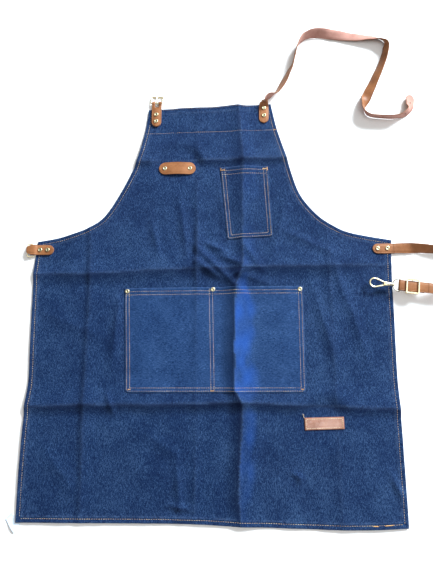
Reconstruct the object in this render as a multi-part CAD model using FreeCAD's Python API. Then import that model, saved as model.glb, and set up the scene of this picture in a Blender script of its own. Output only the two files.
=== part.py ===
import FreeCAD, Part
import math
import os

# Bib apron in denim with leather straps, laid out flat and face up. Millimetres.
# +X is the wearer's left as the front is looked at (right-hand side), +Y runs up to the bib, +Z comes
# out of the front. The pieces are drawn from the middle of the bottom hem and moved once, by
# HEM_TO_ORIGIN, so that the origin is under the middle of the object without its two free straps.

# Driving dimensions
HALF_WIDTH = 350.0          # apron at the bottom hem
WAIST_Y = 524.0             # top corners of the skirt
BIB_LEFT, BIB_RIGHT = (-132.0, 808.0), (121.5, 817.5)
HEM_TO_ORIGIN = (8.0, -411.5, 0.0)

CLOTH = 1.0                 # denim under compression
HEM_THICKNESS = 1.4         # turned edge under the panel
HEM_WIDTH = 12.0
PANEL_TOP = HEM_THICKNESS + CLOTH

STRAP_WIDTH = 20.0
LEATHER = 1.8
STRAP_THICKNESS = 2.0
STRAP_EDGE_Z = 0.3          # lower edge of a strap that stands on its edge

POCKET_SEAM = 11.0          # sewn margin round each pocket
POCKET_LIFT = 4.6           # slack between the pocket front and the panel
SEAM_TOP = PANEL_TOP + CLOTH

CAP_RADIUS, CAP_HEIGHT = 4.3, 1.7
DISH_RADIUS, DISH_DEPTH = 4.0, 0.45
POST_RADIUS, POST_HOLE = 1.45, 1.5
BACK_RADIUS, BACK_BOTTOM, BACK_TOP = 4.0, 0.1, 1.3
BACK_HOLE = 4.3
GATE_PIVOT = (-28.0, 1.7)      # the gate's pin, in the hook's own frame
PIN_RADIUS = 0.8

# Outline of the cloth as it lies, from the bib to the hem. The cloth is a little askew.
LEFT_ARMHOLE = [BIB_LEFT, (-139, 756), (-154, 692), (-182, 628), (-212, 578), (-244, 553),
                (-296, 534), (-347, WAIST_Y)]
RIGHT_ARMHOLE = [BIB_RIGHT, (134, 759), (152, 697), (174, 624), (207.5, 578), (241, 553),
                 (277, 538), (351, WAIST_Y)]
LEFT_SIDE = [(-347, WAIST_Y), (-350.5, 462), (-348, 340), (-345.5, 253), (-349, 195), (-351, 100),
             (-HALF_WIDTH, 1)]
RIGHT_SIDE = [(351, WAIST_Y), (348.5, 474), (347, 380), (346.5, 256), (348, 195), (349.5, 100),
              (HALF_WIDTH, 1)]
BOTTOM = [(-HALF_WIDTH, 1), (-58, 3), (50, 0), (248, -3), (HALF_WIDTH, 1)]

# Corners of the flat pieces: top left, top right, bottom right, bottom left
CHEST_POCKET = [(17.4, 678), (113.2, 680), (121, 533), (32, 527)]
LOWER_POCKET = [(-168, 429), (177, 433), (177, 233), (-159, 231)]
DIVIDER_X = 4.0
LABEL = [(173, 187.5), (244.5, 190), (245, 168.5), (173.5, 165.5)]
CARE_LABEL = [(-370, 5), (-358, 18.5), (-341.5, -1.5), (-353, -18.5)]

# Leather on the chest and at the four strap places
CHEST_TAB_CENTRE, CHEST_TAB_LENGTH, CHEST_TAB_WIDTH = (-70.0, 677.0), 74.5, 26.0
CHEST_TAB_LOOP = 4.7        # height of the gap under the middle of the chest tab
NECK_TAB_X, NECK_TAB_BOTTOM, NECK_FOLD_Y = -115.5, 770.0, 822.0
WAIST_TAB_Y, WAIST_TAB_END, WAIST_FOLD_X = 507.0, -313.0, -365.0
NECK_ANCHOR_X, NECK_ANCHOR_BOTTOM, NECK_EXIT_Y = 107.0, 775.5, 821.0
WAIST_ANCHOR_Y, WAIST_ANCHOR_END, WAIST_EXIT_X = 507.0, 314.0, 354.0

# Neck buckle, waist ring
BUCKLE_WIRE, BUCKLE_HALF_WIDTH, BUCKLE_REACH = 1.4, 12.2, 16.0
BUCKLE_GAP = 0.1            # under the far side of the buckle
PRONG_SLOT = 7.0
PIVOT_PLAY = 0.1            # leather round a bar
RUNNING_PLAY = 0.05         # metal on metal
RING_WIRE, RING_HALF_WIDTH, RING_DEPTH = 1.1, 12.7, 13.0
RING_FOLD_Z, RING_REST_Z, RING_OFFSET = 5.8, 1.2, -0.6
BAR_BEND = 1.6              # bend beside a bar that leather is folded round

# Snap hook and slider, drawn from the bar of the hook's eye with the strap towards +X
EYE_BAR = (358.5, 432.8)
HOOK_Z = 12.8
HOOK_ANGLE = -6.5
EYE_WIRE, EYE_HALF_WIDTH = 1.2, 12.0
HOOK_WIRE, LOOP_RADIUS, LOOP_CENTRE_X = 1.5, 8.3, -47.9
STRAP_END_UPPER, STRAP_END_LOWER = 52.0, 46.0
SLIDER_X, SLIDER_HALF_LENGTH, SLIDER_INNER, SLIDER_OUTER = 22.5, 12.3, 11.7, 14.2

# Rivets: places and the top of the leather or cloth that each row goes through
LEG_TOP = PANEL_TOP + 2 * LEATHER
ANCHOR_TOP = PANEL_TOP + STRAP_THICKNESS
RIVETS = {
    "neck_tab": ([(-116, 796), (-116, 781)], LEG_TOP),
    "waist_tab": ([(-340, 507), (-325, 507)], LEG_TOP),
    "neck_anchor": ([(107, 808), (107, 791.5)], ANCHOR_TOP),
    "waist_anchor": ([(323.5, 507), (342, 507.5)], ANCHOR_TOP),
    "chest_tab": ([(-95.5, 677), (-44.5, 677)], PANEL_TOP + LEATHER),
    "pocket": ([(-163, 423.5), (DIVIDER_X, 427), (171.5, 427.5)], SEAM_TOP),
}

# Routes of the two free straps, seen from the front
NECK_ROUTE = [(107, 821.3), (108, 829), (115, 835), (134, 840), (149, 864), (161, 889), (172, 914),
              (177, 947), (194, 971), (222, 978), (260, 973.5), (298, 968), (334, 964.5),
              (359, 960), (365, 941), (354, 905), (339, 872), (322, 836), (307, 805), (316, 785),
              (345, 781), (377, 780), (399, 790), (406, 810), (407, 832)]
WAIST_ROUTE = [(354.3, 507), (377, 507.5), (402, 506.5), (432, 503), (472, 498), (520, 497),
               (570, 503), (612, 506), (642, 489), (650, 458), (631, 432), (593, 421),
               (548, 425), (500, 430), (460, 425.5), (432, 424), (410.5, 426.9)]


def vector(x, y, z=0.0):
    return FreeCAD.Vector(x, y, z)


def spline(points):
    curve = Part.BSplineCurve()
    curve.interpolate([vector(*p) for p in points])
    return curve.toShape()


def prism(edges, bottom, top):
    face = Part.Face(Part.Wire(Part.__sortEdges__(edges)))
    solid = face.extrude(vector(0, 0, top - bottom))
    solid.translate(vector(0, 0, bottom))
    return solid


def polygon(points, bottom, top):
    closed = points + points[:1]
    edges = [Part.LineSegment(vector(*a), vector(*b)).toShape() for a, b in zip(closed, closed[1:])]
    return prism(edges, bottom, top)


def moved(shape, x=0.0, y=0.0, z=0.0, angle=0.0):
    copy = shape.copy()
    copy.rotate(vector(0, 0), vector(0, 0, 1), angle)
    copy.translate(vector(x, y, z))
    return copy


def inset(corners, distance):
    """The same quadrilateral with each side moved inwards."""
    count = len(corners)
    lines = []
    for i in range(count):
        (x0, y0), (x1, y1) = corners[i], corners[(i + 1) % count]
        length = math.hypot(x1 - x0, y1 - y0)
        nx, ny = (y1 - y0) / length, -(x1 - x0) / length
        lines.append((nx, ny, nx * x0 + ny * y0 + distance))
    result = []
    for i in range(count):
        a, b = lines[i - 1], lines[i]
        det = a[0] * b[1] - a[1] * b[0]
        result.append(((a[2] * b[1] - b[2] * a[1]) / det, (a[0] * b[2] - b[0] * a[2]) / det))
    return result


def drill(shape, places, radius):
    low, height = -5.0, 40.0
    return shape.cut([Part.makeCylinder(radius, height, vector(x, y, low)) for x, y in places])


def all_rivets():
    return [place for places, _ in RIVETS.values() for place in places]


# Cloth

def panel_outline():
    return [spline(points) for points in (LEFT_ARMHOLE, LEFT_SIDE, BOTTOM, RIGHT_SIDE, RIGHT_ARMHOLE)] + [
        Part.LineSegment(vector(*BIB_LEFT), vector(*BIB_RIGHT)).toShape()]


def apron_panel():
    return drill(prism(panel_outline(), HEM_THICKNESS, PANEL_TOP), all_rivets(), POST_HOLE)


def edge_band(points, side):
    """A turned edge: the cloth outline on one side, the same line HEM_WIDTH inside on the other."""
    inner = []
    for i, (x, y) in enumerate(points):
        ax, ay = points[max(i - 1, 0)]
        bx, by = points[min(i + 1, len(points) - 1)]
        length = math.hypot(bx - ax, by - ay)
        inner.append((x - side * (by - ay) / length * HEM_WIDTH, y + side * (bx - ax) / length * HEM_WIDTH))
    ends = [Part.LineSegment(vector(*points[i]), vector(*inner[i])).toShape() for i in (0, -1)]
    return prism([spline(points), spline(inner)] + ends, 0, HEM_THICKNESS)


def under_edges():
    """Facing and hems, each cut clear of those made before it."""
    top = 840.0
    facing_line = [(-200, 753), (200, 762)]
    facing_area = polygon([(-200, top), (200, top)] + facing_line[::-1], 0, HEM_THICKNESS)
    facing = prism(panel_outline(), 0, HEM_THICKNESS).common(facing_area)
    pieces = {
        "bib_facing": facing,
        "left_armhole_hem": edge_band(LEFT_ARMHOLE, 1),
        "right_armhole_hem": edge_band(RIGHT_ARMHOLE, -1),
        "bottom_hem": edge_band(BOTTOM, 1),
        "left_side_hem": edge_band(LEFT_SIDE, 1),
        "right_side_hem": edge_band(RIGHT_SIDE, -1),
    }
    made = facing_area
    for name, shape in pieces.items():
        if name != "bib_facing":
            shape = shape.cut(made)
            made = made.fuse(shape)
        pieces[name] = drill(largest_solid(shape), all_rivets(), BACK_HOLE)
    return pieces


def largest_solid(shape):
    return max(shape.Solids, key=lambda solid: solid.Volume)


def pocket(corners, dividers):
    """A patch pocket: sewn margin on the panel and a slack front, open at the top."""
    (lx, ly), (rx, ry) = corners[0], corners[1]
    front_top = SEAM_TOP + POCKET_LIFT
    wall = CLOTH
    outer = inset(corners, POCKET_SEAM - wall)
    inner = inset(corners, POCKET_SEAM)
    mouth = [(lx + POCKET_SEAM, ly + 5), (rx - POCKET_SEAM, ry + 5), inner[2], inner[3]]
    raised = [(lx + POCKET_SEAM - wall, ly), (rx - POCKET_SEAM + wall, ry), outer[2], outer[3]]
    shape = polygon(corners, PANEL_TOP, SEAM_TOP).fuse(polygon(raised, PANEL_TOP, front_top))
    shape = shape.cut(polygon(mouth, PANEL_TOP - 1, front_top - wall))
    for x in dividers:
        half = POCKET_SEAM / 2
        bottom_y, top_y = min(p[1] for p in corners), max(p[1] for p in corners)
        groove = Part.makeBox(2 * half - 2 * wall, top_y - bottom_y, POCKET_LIFT + 5,
                              vector(x - half + wall, bottom_y + POCKET_SEAM / 2, SEAM_TOP))
        rib = Part.makeBox(2 * half, top_y - bottom_y - POCKET_SEAM / 2 - 4, front_top - PANEL_TOP,
                           vector(x - half, bottom_y + POCKET_SEAM / 2, PANEL_TOP))
        shape = shape.fuse(rib).cut(groove)
    return drill(shape.removeSplitter(), RIVETS["pocket"][0], POST_HOLE)


def bar_tacks():
    """Dense thread bars at the pocket corners that take the strain."""
    places = [(24, 673, 5), (106.5, 675.5, 5), (DIVIDER_X, 236, 4), (-152, 236, 4), (169.5, 237.5, 4)]
    return [Part.makeBox(2.0, length, 0.6, vector(x - 1.0, y - length / 2, SEAM_TOP))
            for x, y, length in places]


# Leather

def round_ended(length, width, bottom, top, both=True):
    """A flat strip along +X from 0 to length with a round end at 0, and at length too if both."""
    half = width / 2
    right = length - half if both else length
    edges = [Part.LineSegment(vector(half, half), vector(right, half)).toShape(),
             Part.LineSegment(vector(half, -half), vector(right, -half)).toShape(),
             Part.Arc(vector(half, half), vector(0, 0), vector(half, -half)).toShape()]
    if both:
        edges.append(Part.Arc(vector(right, half), vector(length, 0), vector(right, -half)).toShape())
    else:
        edges.append(Part.LineSegment(vector(right, half), vector(right, -half)).toShape())
    return prism(edges, bottom, top)


def side_profile(points, width):
    """A closed outline in X and Z, given as (x, z), widened evenly to both sides along Y."""
    closed = points + points[:1]
    edges = [Part.LineSegment(vector(a[0], -width / 2, a[1]), vector(b[0], -width / 2, b[1])).toShape()
             for a, b in zip(closed, closed[1:])]
    return Part.Face(Part.Wire(edges)).extrude(vector(0, width, 0))


def chest_tab():
    half, low, high = CHEST_TAB_LENGTH / 2, PANEL_TOP, PANEL_TOP + CHEST_TAB_LOOP
    under = [(-half, low), (-18, low), (-9.5, high), (9.5, high), (18, low), (half, low)]
    over = [(x, z + LEATHER) for x, z in reversed(under)]
    arch = side_profile(under + over, CHEST_TAB_WIDTH)
    outline = moved(round_ended(CHEST_TAB_LENGTH, CHEST_TAB_WIDTH, 0, 20), x=-half)
    return drill(moved(arch.common(outline), *CHEST_TAB_CENTRE), RIVETS["chest_tab"][0], POST_HOLE)


def folded_tab(length, wire, fold_z, knee_x, pinch_x):
    """A strip folded round a bar at x 0 and height fold_z. Its two legs run level to knee_x, meet at
    pinch_x and run on together, one on the other, to a round end at length."""
    inner, outer = wire + PIVOT_PLAY, wire + PIVOT_PLAY + LEATHER
    low, middle, high = PANEL_TOP, PANEL_TOP + LEATHER, LEG_TOP
    y = -STRAP_WIDTH / 2

    def loop(radius, legs):
        level = [(0, fold_z + radius), (knee_x, fold_z + radius)]
        under = [(knee_x, fold_z - radius), (0, fold_z - radius)]
        points = [vector(x, y, z) for x, z in level + legs + under]
        edges = [Part.LineSegment(a, b).toShape() for a, b in zip(points, points[1:])]
        edges.append(Part.Arc(points[-1], vector(-radius, y, fold_z), points[0]).toShape())
        return Part.Face(Part.Wire(edges)).extrude(vector(0, STRAP_WIDTH, 0))

    skin = loop(outer, [(pinch_x, high), (length, high), (length, low), (pinch_x, low)])
    outline = moved(round_ended(length + outer + 10, STRAP_WIDTH, -1, 20), x=-outer - 10)
    return skin.cut(loop(inner, [(pinch_x, middle)])).common(outline)


def neck_tab():
    tab = folded_tab(NECK_FOLD_Y - NECK_TAB_BOTTOM, BUCKLE_WIRE, LEG_TOP - LEATHER, 1.0, 6.0)
    slot = Part.makeBox(30, PRONG_SLOT, 30, vector(-17, -PRONG_SLOT / 2, -5))
    tab = moved(tab.cut(slot), NECK_TAB_X, NECK_FOLD_Y, 0, -90)
    return drill(tab, RIVETS["neck_tab"][0], POST_HOLE)


def waist_tab():
    tab = folded_tab(WAIST_TAB_END - WAIST_FOLD_X, RING_WIRE, RING_FOLD_Z, 13.5, 20.0)
    return drill(moved(tab, WAIST_FOLD_X, WAIST_TAB_Y), RIVETS["waist_tab"][0], POST_HOLE)


def neck_anchor():
    strip = round_ended(NECK_EXIT_Y - NECK_ANCHOR_BOTTOM, STRAP_WIDTH, PANEL_TOP, ANCHOR_TOP, both=False)
    return drill(moved(strip, NECK_ANCHOR_X, NECK_ANCHOR_BOTTOM, 0, 90), RIVETS["neck_anchor"][0], POST_HOLE)


def waist_anchor():
    strip = round_ended(WAIST_EXIT_X - WAIST_ANCHOR_END, STRAP_WIDTH, PANEL_TOP, ANCHOR_TOP, both=False)
    return drill(moved(strip, WAIST_ANCHOR_END, WAIST_ANCHOR_Y), RIVETS["waist_anchor"][0], POST_HOLE)


def strap_on_edge(name, route):
    """A free strap standing on its edge: straight runs joined by tangent arcs, seen from above."""
    points = [vector(*p) for p in route]
    half = STRAP_THICKNESS / 2
    runs = [b - a for a, b in zip(points, points[1:])]
    sides = {1: [], -1: []}
    radii = []
    length = 0.0

    def beside(point, direction, side):
        return point + vector(-direction.y, direction.x) * (side * half)

    first_direction = FreeCAD.Vector(runs[0]).normalize()
    first_ends = [beside(points[0], first_direction, side) for side in (1, -1)]
    starts = {1: first_ends[0], -1: first_ends[1]}
    before = points[0]
    for i in range(1, len(points) - 1):
        back, ahead = runs[i - 1], runs[i]
        shorter = min(back.Length, ahead.Length)
        u, v = FreeCAD.Vector(back).normalize(), FreeCAD.Vector(ahead).normalize()
        turn = math.atan2(u.x * v.y - u.y * v.x, u.dot(v))
        radius = 0.45 * shorter / math.tan(abs(turn) / 2)
        radii.append(radius)
        hand = 1 if turn > 0 else -1
        first, last = points[i] - u * (0.45 * shorter), points[i] + v * (0.45 * shorter)
        centre = first + vector(-u.y, u.x) * (hand * radius)
        out = FreeCAD.Vector(points[i] - centre).normalize()
        length += (first - before).Length + radius * abs(turn)
        before = last
        for side in sides:
            middle = centre + out * (radius - hand * side * half)
            a, b = beside(first, u, side), beside(last, v, side)
            sides[side].append(Part.LineSegment(starts[side], a).toShape())
            sides[side].append(Part.Arc(a, middle, b).toShape())
            starts[side] = b
    length += (points[-1] - before).Length
    direction = FreeCAD.Vector(runs[-1]).normalize()
    for side in sides:
        end = beside(points[-1], direction, side)
        sides[side].append(Part.LineSegment(starts[side], end).toShape())
        starts[side] = end
    edges = sides[1] + [Part.LineSegment(starts[1], starts[-1]).toShape()] + sides[-1][::-1]
    edges.append(Part.LineSegment(*first_ends).toShape())
    solid = prism(edges, STRAP_EDGE_Z, STRAP_EDGE_Z + STRAP_WIDTH)
    section = STRAP_THICKNESS * STRAP_WIDTH
    print(name, "length", round(length, 1), "volume over section", round(solid.Volume / section, 1),
          "smallest radii", [round(r) for r in sorted(radii)[:5]])
    return solid


def strap_end_loop():
    """The strap's end folded round the bar of the hook's eye, in the eye's own frame."""
    inner, outer = EYE_WIRE + PIVOT_PLAY, EYE_WIRE + PIVOT_PLAY + LEATHER
    y = -STRAP_WIDTH / 2
    spots = [(STRAP_END_UPPER, outer), (0, outer), (0, -outer), (STRAP_END_LOWER, -outer),
             (STRAP_END_LOWER, -inner), (0, -inner), (0, inner), (STRAP_END_UPPER, inner)]
    p = [vector(x, y, z) for x, z in spots]
    edges = [Part.LineSegment(p[0], p[1]).toShape(),
             Part.Arc(p[1], vector(-outer, y, 0), p[2]).toShape(),
             Part.LineSegment(p[2], p[3]).toShape(),
             Part.LineSegment(p[3], p[4]).toShape(),
             Part.LineSegment(p[4], p[5]).toShape(),
             Part.Arc(p[5], vector(-inner, y, 0), p[6]).toShape(),
             Part.LineSegment(p[6], p[7]).toShape(),
             Part.LineSegment(p[7], p[0]).toShape()]
    return Part.Face(Part.Wire(edges)).extrude(vector(0, STRAP_WIDTH, 0))


# Metal

def rod_along(edges, radius):
    """A round wire bent along tangent edges."""
    path = Part.Wire(edges)
    start = path.Edges[0]
    point = start.valueAt(start.FirstParameter)
    direction = start.tangentAt(start.FirstParameter)
    circle = Part.Wire(Part.makeCircle(radius, point, direction))
    return path.makePipeShell([circle], True, False)


def line(a, b):
    return Part.LineSegment(a, b).toShape()


def arc(a, b, c):
    return Part.Arc(a, b, c).toShape()


def corner_point(centre_x, centre_y, radius, degrees):
    return vector(centre_x + radius * math.cos(math.radians(degrees)),
                  centre_y + radius * math.sin(math.radians(degrees)))


def wire_loop(half_width, depth, near, far, wire):
    """A closed loop of wire: its bar along Y at x 0, bends of radius near beside the bar and far at
    the other side, which is at x = depth."""
    w = half_width
    spots = [(0, 0), (0, w - near), (near, w), (depth - far, w), (depth, w - far),
             (depth, far - w), (depth - far, -w), (near, -w), (0, near - w), (0, 0)]
    bends = {1: (near, w - near, near, 135), 3: (depth - far, w - far, far, 45),
             5: (depth - far, far - w, far, -45), 7: (near, near - w, near, 225)}
    edges = []
    for i, (a, b) in enumerate(zip(spots, spots[1:])):
        if math.dist(a, b) < 0.01:
            continue
        if i in bends:
            edges.append(arc(vector(*a), corner_point(*bends[i]), vector(*b)))
        else:
            edges.append(line(vector(*a), vector(*b)))
    return rod_along(edges, wire)


def buckle_frame():
    return wire_loop(BUCKLE_HALF_WIDTH, BUCKLE_REACH, 2.0, 3.0, BUCKLE_WIRE)


def buckle_prong():
    """A pin curled round the buckle's bar, its point resting over the far side."""
    curl_width, curl_wall, rod = 4.0, 1.1, 1.1
    start = vector(-curl_width / 2, 0, 0)
    curl = Part.makeCylinder(BUCKLE_WIRE + RUNNING_PLAY + curl_wall, curl_width, start, vector(1, 0, 0))
    root, tip = vector(0, 1.6, 1.7), vector(0, BUCKLE_REACH + 2.4, 3.15)
    along = tip - root
    pin = Part.makeCylinder(rod, along.Length, root, along).fuse(Part.makeSphere(rod, tip))
    hole = Part.makeCylinder(BUCKLE_WIRE + RUNNING_PLAY, 20, vector(-10, 0, 0), vector(1, 0, 0))
    return curl.fuse(pin).cut(hole)


def resting_buckle(shape):
    """The buckle droops from its bar until its far side meets the table."""
    bar_z = LEG_TOP - LEATHER
    drop = math.degrees(math.asin((bar_z - BUCKLE_WIRE - BUCKLE_GAP) / BUCKLE_REACH))
    shape = shape.copy()
    shape.rotate(vector(0, 0), vector(1, 0, 0), -drop)
    return moved(shape, NECK_TAB_X, NECK_FOLD_Y, bar_z)


def waist_ring():
    """Folded under its tab, its round side on the table."""
    ring = wire_loop(RING_HALF_WIDTH, RING_DEPTH, BAR_BEND, 6.0, RING_WIRE)
    drop = math.degrees(math.asin((RING_FOLD_Z - RING_REST_Z) / RING_DEPTH))
    ring.rotate(vector(0, 0), vector(0, 1, 0), drop)
    return moved(ring, WAIST_FOLD_X, WAIST_TAB_Y + RING_OFFSET, RING_FOLD_Z)


def hook_eye():
    eye = wire_loop(EYE_HALF_WIDTH, EYE_HALF_WIDTH + BAR_BEND, BAR_BEND, EYE_HALF_WIDTH, EYE_WIRE)
    eye.rotate(vector(0, 0), vector(0, 0, 1), 180)
    boss = Part.makeCylinder(3.2, 6.1, vector(-19.5, 0, 0), vector(1, 0, 0))
    bore = Part.makeCylinder(1.5 + RUNNING_PLAY, 12, vector(-22, 0, 0), vector(1, 0, 0))
    return eye.fuse(boss).cut(bore)


def hook_nose_points():
    """The loop's round end: its two tangent points, and where the nose stops short of the gate."""
    root = vector(-26.0, 2.2)
    centre = vector(LOOP_CENTRE_X, 0)
    reach = (root - centre).Length
    angle = math.atan2(root.y, root.x - centre.x) + math.acos(LOOP_RADIUS / reach)
    tangent = centre + vector(math.cos(angle), math.sin(angle)) * LOOP_RADIUS
    nose = tangent + (root - tangent) * 0.36
    return root, tangent, nose


def mirrored(point):
    return vector(point.x, -point.y)


def hook_body():
    root, tangent, nose = hook_nose_points()
    tip = vector(LOOP_CENTRE_X - LOOP_RADIUS, 0)
    loop = rod_along([line(mirrored(root), mirrored(tangent)), arc(mirrored(tangent), tip, tangent),
                      line(tangent, nose)], HOOK_WIRE)
    x_axis = vector(1, 0, 0)
    collar = Part.makeCylinder(3.4, 5.2, vector(-25.0, 0, 0), x_axis)
    cheeks = Part.makeBox(7.0, 7.4, 5.4, vector(-31.0, -3.8, -2.7))
    cheeks = cheeks.makeFillet(1.0, cheeks.Edges)
    stem = Part.makeCylinder(1.5, 9.0, vector(-20.2, 0, 0), x_axis)
    head = Part.makeCylinder(2.5, 1.1, vector(-12.1, 0, 0), x_axis)
    body = loop.fuse(collar).fuse(cheeks).fuse(stem).fuse(head)
    slot = Part.makeBox(6.6, 8, 3.1, vector(-32.0, -0.6, -1.55))
    spring_bore = Part.makeCylinder(1.0, 3.5, vector(-26.0, 1.7, 0), x_axis)
    pin_bore = Part.makeCylinder(PIN_RADIUS, 8, vector(*GATE_PIVOT, -4))
    return body.cut(slot).cut(spring_bore).cut(pin_bore)


def hook_gate():
    """The sprung bar that closes the loop, turning on its pin."""
    _, tangent, nose = hook_nose_points()
    pivot = vector(*GATE_PIVOT)
    away = FreeCAD.Vector(nose - tangent).normalize()
    tip = nose + away * 0.5
    along = tip - pivot
    bar = Part.makeCylinder(1.3, along.Length, pivot, along)
    root = Part.makeCylinder(1.9, 2.6, vector(pivot.x, pivot.y, -1.3))
    return bar.fuse(root).cut(Part.makeCylinder(0.8 + RUNNING_PLAY, 8, vector(pivot.x, pivot.y, -4)))


def gate_pin():
    return Part.makeCylinder(PIN_RADIUS, 5.2, vector(*GATE_PIVOT, -2.6))


def gate_spring():
    return Part.makeCylinder(0.9, 2.6, vector(-25.9, 1.7, 0), vector(1, 0, 0))


def strap_slider():
    """A frame whose middle bar lies between the two layers of strap and whose ends cross over them."""
    z_low, z_high, end_low = -1.1, 5.7, 3.5
    length = 2 * SLIDER_HALF_LENGTH
    rail_width = SLIDER_OUTER - SLIDER_INNER
    start = SLIDER_X - SLIDER_HALF_LENGTH
    shape = None
    for y in (SLIDER_INNER, -SLIDER_OUTER):
        rail = Part.makeBox(length, rail_width, z_high - z_low, vector(start, y, z_low))
        shape = rail if shape is None else shape.fuse(rail)
    for x in (start, start + length - 2.2):
        shape = shape.fuse(Part.makeBox(2.2, 2 * SLIDER_OUTER, z_high - end_low,
                                        vector(x, -SLIDER_OUTER, end_low)))
    shape = shape.removeSplitter()
    corners = [e for e in shape.Edges
               if abs(abs(e.CenterOfMass.y) - SLIDER_OUTER) < 0.01
               and abs(e.tangentAt(e.FirstParameter).z) > 0.9]
    shape = shape.makeFillet(2.0, corners)
    bar = Part.makeCylinder(0.9, 2 * SLIDER_INNER + 1.0, vector(SLIDER_X, -SLIDER_INNER - 0.5, 0),
                            vector(0, 1, 0))
    return shape.fuse(bar)


# Rivets

def rivet_cap(x, y, seat):
    """Rounded cap with a dished middle, and its post down to the back."""
    cap = Part.makeCylinder(CAP_RADIUS, CAP_HEIGHT)
    rim = [e for e in cap.Edges if e.CenterOfMass.z > CAP_HEIGHT - 0.01 and e.Closed]
    cap = cap.makeFillet(1.3, rim)
    dish = Part.makeSphere(DISH_RADIUS, vector(0, 0, CAP_HEIGHT + DISH_RADIUS - DISH_DEPTH))
    post = Part.makeCylinder(POST_RADIUS, seat - BACK_BOTTOM, vector(0, 0, BACK_BOTTOM - seat))
    return moved(cap.cut(dish).fuse(post), x, y, seat)


def rivet_back(x, y):
    disc = Part.makeCylinder(BACK_RADIUS, BACK_TOP - BACK_BOTTOM, vector(0, 0, BACK_BOTTOM))
    lower_rim = disc.Edges[2]
    disc = disc.makeFillet(0.4, [lower_rim])
    return moved(disc.cut(Part.makeCylinder(POST_HOLE, 5, vector(0, 0, -1))), x, y)


def placed_hook(shape):
    return moved(shape, *EYE_BAR, HOOK_Z, HOOK_ANGLE)


def build():
    nodes = {"apron_panel": [apron_panel()]}
    edges = under_edges()
    nodes.update({name: [shape] for name, shape in edges.items()})
    nodes["chest_pocket"] = [pocket(CHEST_POCKET, [])]
    nodes["lower_pocket"] = [pocket(LOWER_POCKET, [DIVIDER_X])]
    nodes["pocket_bar_tacks"] = bar_tacks()
    nodes["chest_tab"] = [chest_tab()]
    nodes["leather_label"] = [polygon(LABEL, PANEL_TOP, PANEL_TOP + LEATHER)]
    care = polygon(CARE_LABEL, 0.5, 0.9)
    nodes["care_label"] = [largest_solid(care.cut(edges["bottom_hem"]).cut(edges["left_side_hem"]))]
    nodes["neck_tab"] = [neck_tab()]
    nodes["waist_tab"] = [waist_tab()]
    nodes["neck_strap_anchor"] = [neck_anchor()]
    nodes["waist_strap_anchor"] = [waist_anchor()]
    nodes["neck_strap"] = [strap_on_edge("neck_strap", NECK_ROUTE)]
    nodes["waist_strap"] = [strap_on_edge("waist_strap", WAIST_ROUTE)]
    nodes["neck_buckle_frame"] = [resting_buckle(moved(buckle_frame(), angle=90))]
    nodes["neck_buckle_prong"] = [resting_buckle(buckle_prong())]
    nodes["waist_ring"] = [waist_ring()]
    for name, make in (("strap_end_loop", strap_end_loop), ("strap_slider", strap_slider),
                       ("hook_eye", hook_eye), ("hook_body", hook_body), ("hook_gate", hook_gate),
                       ("gate_pin", gate_pin), ("gate_spring", gate_spring)):
        nodes[name] = [placed_hook(make())]
    for group, (places, seat) in RIVETS.items():
        nodes[group + "_rivet_caps"] = [rivet_cap(x, y, seat) for x, y in places]
        nodes[group + "_rivet_backs"] = [rivet_back(x, y) for x, y in places]
    return nodes


FREE_NODES = ("neck_strap", "waist_strap", "strap_end_loop", "strap_slider", "hook_eye", "hook_body",
              "hook_gate", "gate_pin", "gate_spring")

os.makedirs("parts", exist_ok=True)
box = FreeCAD.BoundBox()
for node, solids in build().items():
    shape = solids[0] if len(solids) == 1 else Part.makeCompound(solids)
    shape.translate(vector(*HEM_TO_ORIGIN))
    if not shape.isValid() or any(s.Volume <= 0 for s in shape.Solids):
        print("invalid", node)
    print(node, "solids", len(shape.Solids), "volume", round(shape.Volume, 1))
    if node not in FREE_NODES:
        box.add(shape.BoundBox)
    shape.exportStep("parts/" + node + ".step")
print("box without the straps", box)
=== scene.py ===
import bisect
import math
import random

import bpy
from mathutils import Euler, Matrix, Vector, kdtree, noise
from mathutils.geometry import delaunay_2d_cdt


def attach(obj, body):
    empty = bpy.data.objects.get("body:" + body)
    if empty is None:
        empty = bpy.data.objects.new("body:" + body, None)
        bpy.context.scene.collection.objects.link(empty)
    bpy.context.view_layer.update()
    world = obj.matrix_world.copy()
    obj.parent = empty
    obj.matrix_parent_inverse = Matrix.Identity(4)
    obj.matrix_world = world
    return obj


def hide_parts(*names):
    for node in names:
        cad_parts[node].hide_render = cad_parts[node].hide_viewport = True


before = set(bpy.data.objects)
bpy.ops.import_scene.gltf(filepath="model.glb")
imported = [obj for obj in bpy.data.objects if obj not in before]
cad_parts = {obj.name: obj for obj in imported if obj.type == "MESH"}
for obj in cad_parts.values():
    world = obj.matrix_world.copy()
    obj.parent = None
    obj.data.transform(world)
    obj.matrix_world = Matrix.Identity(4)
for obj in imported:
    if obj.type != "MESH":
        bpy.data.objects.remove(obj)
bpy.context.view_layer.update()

# Bib apron in denim with leather straps, laid out flat. Shapes are worked out in millimetres from the
# middle of the bottom hem (the cloth's own frame) and go into the row frame, in metres, through place().
MM = 0.001
ORIGIN_SHIFT = (8.0, -411.5)
random.seed(7)

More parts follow.
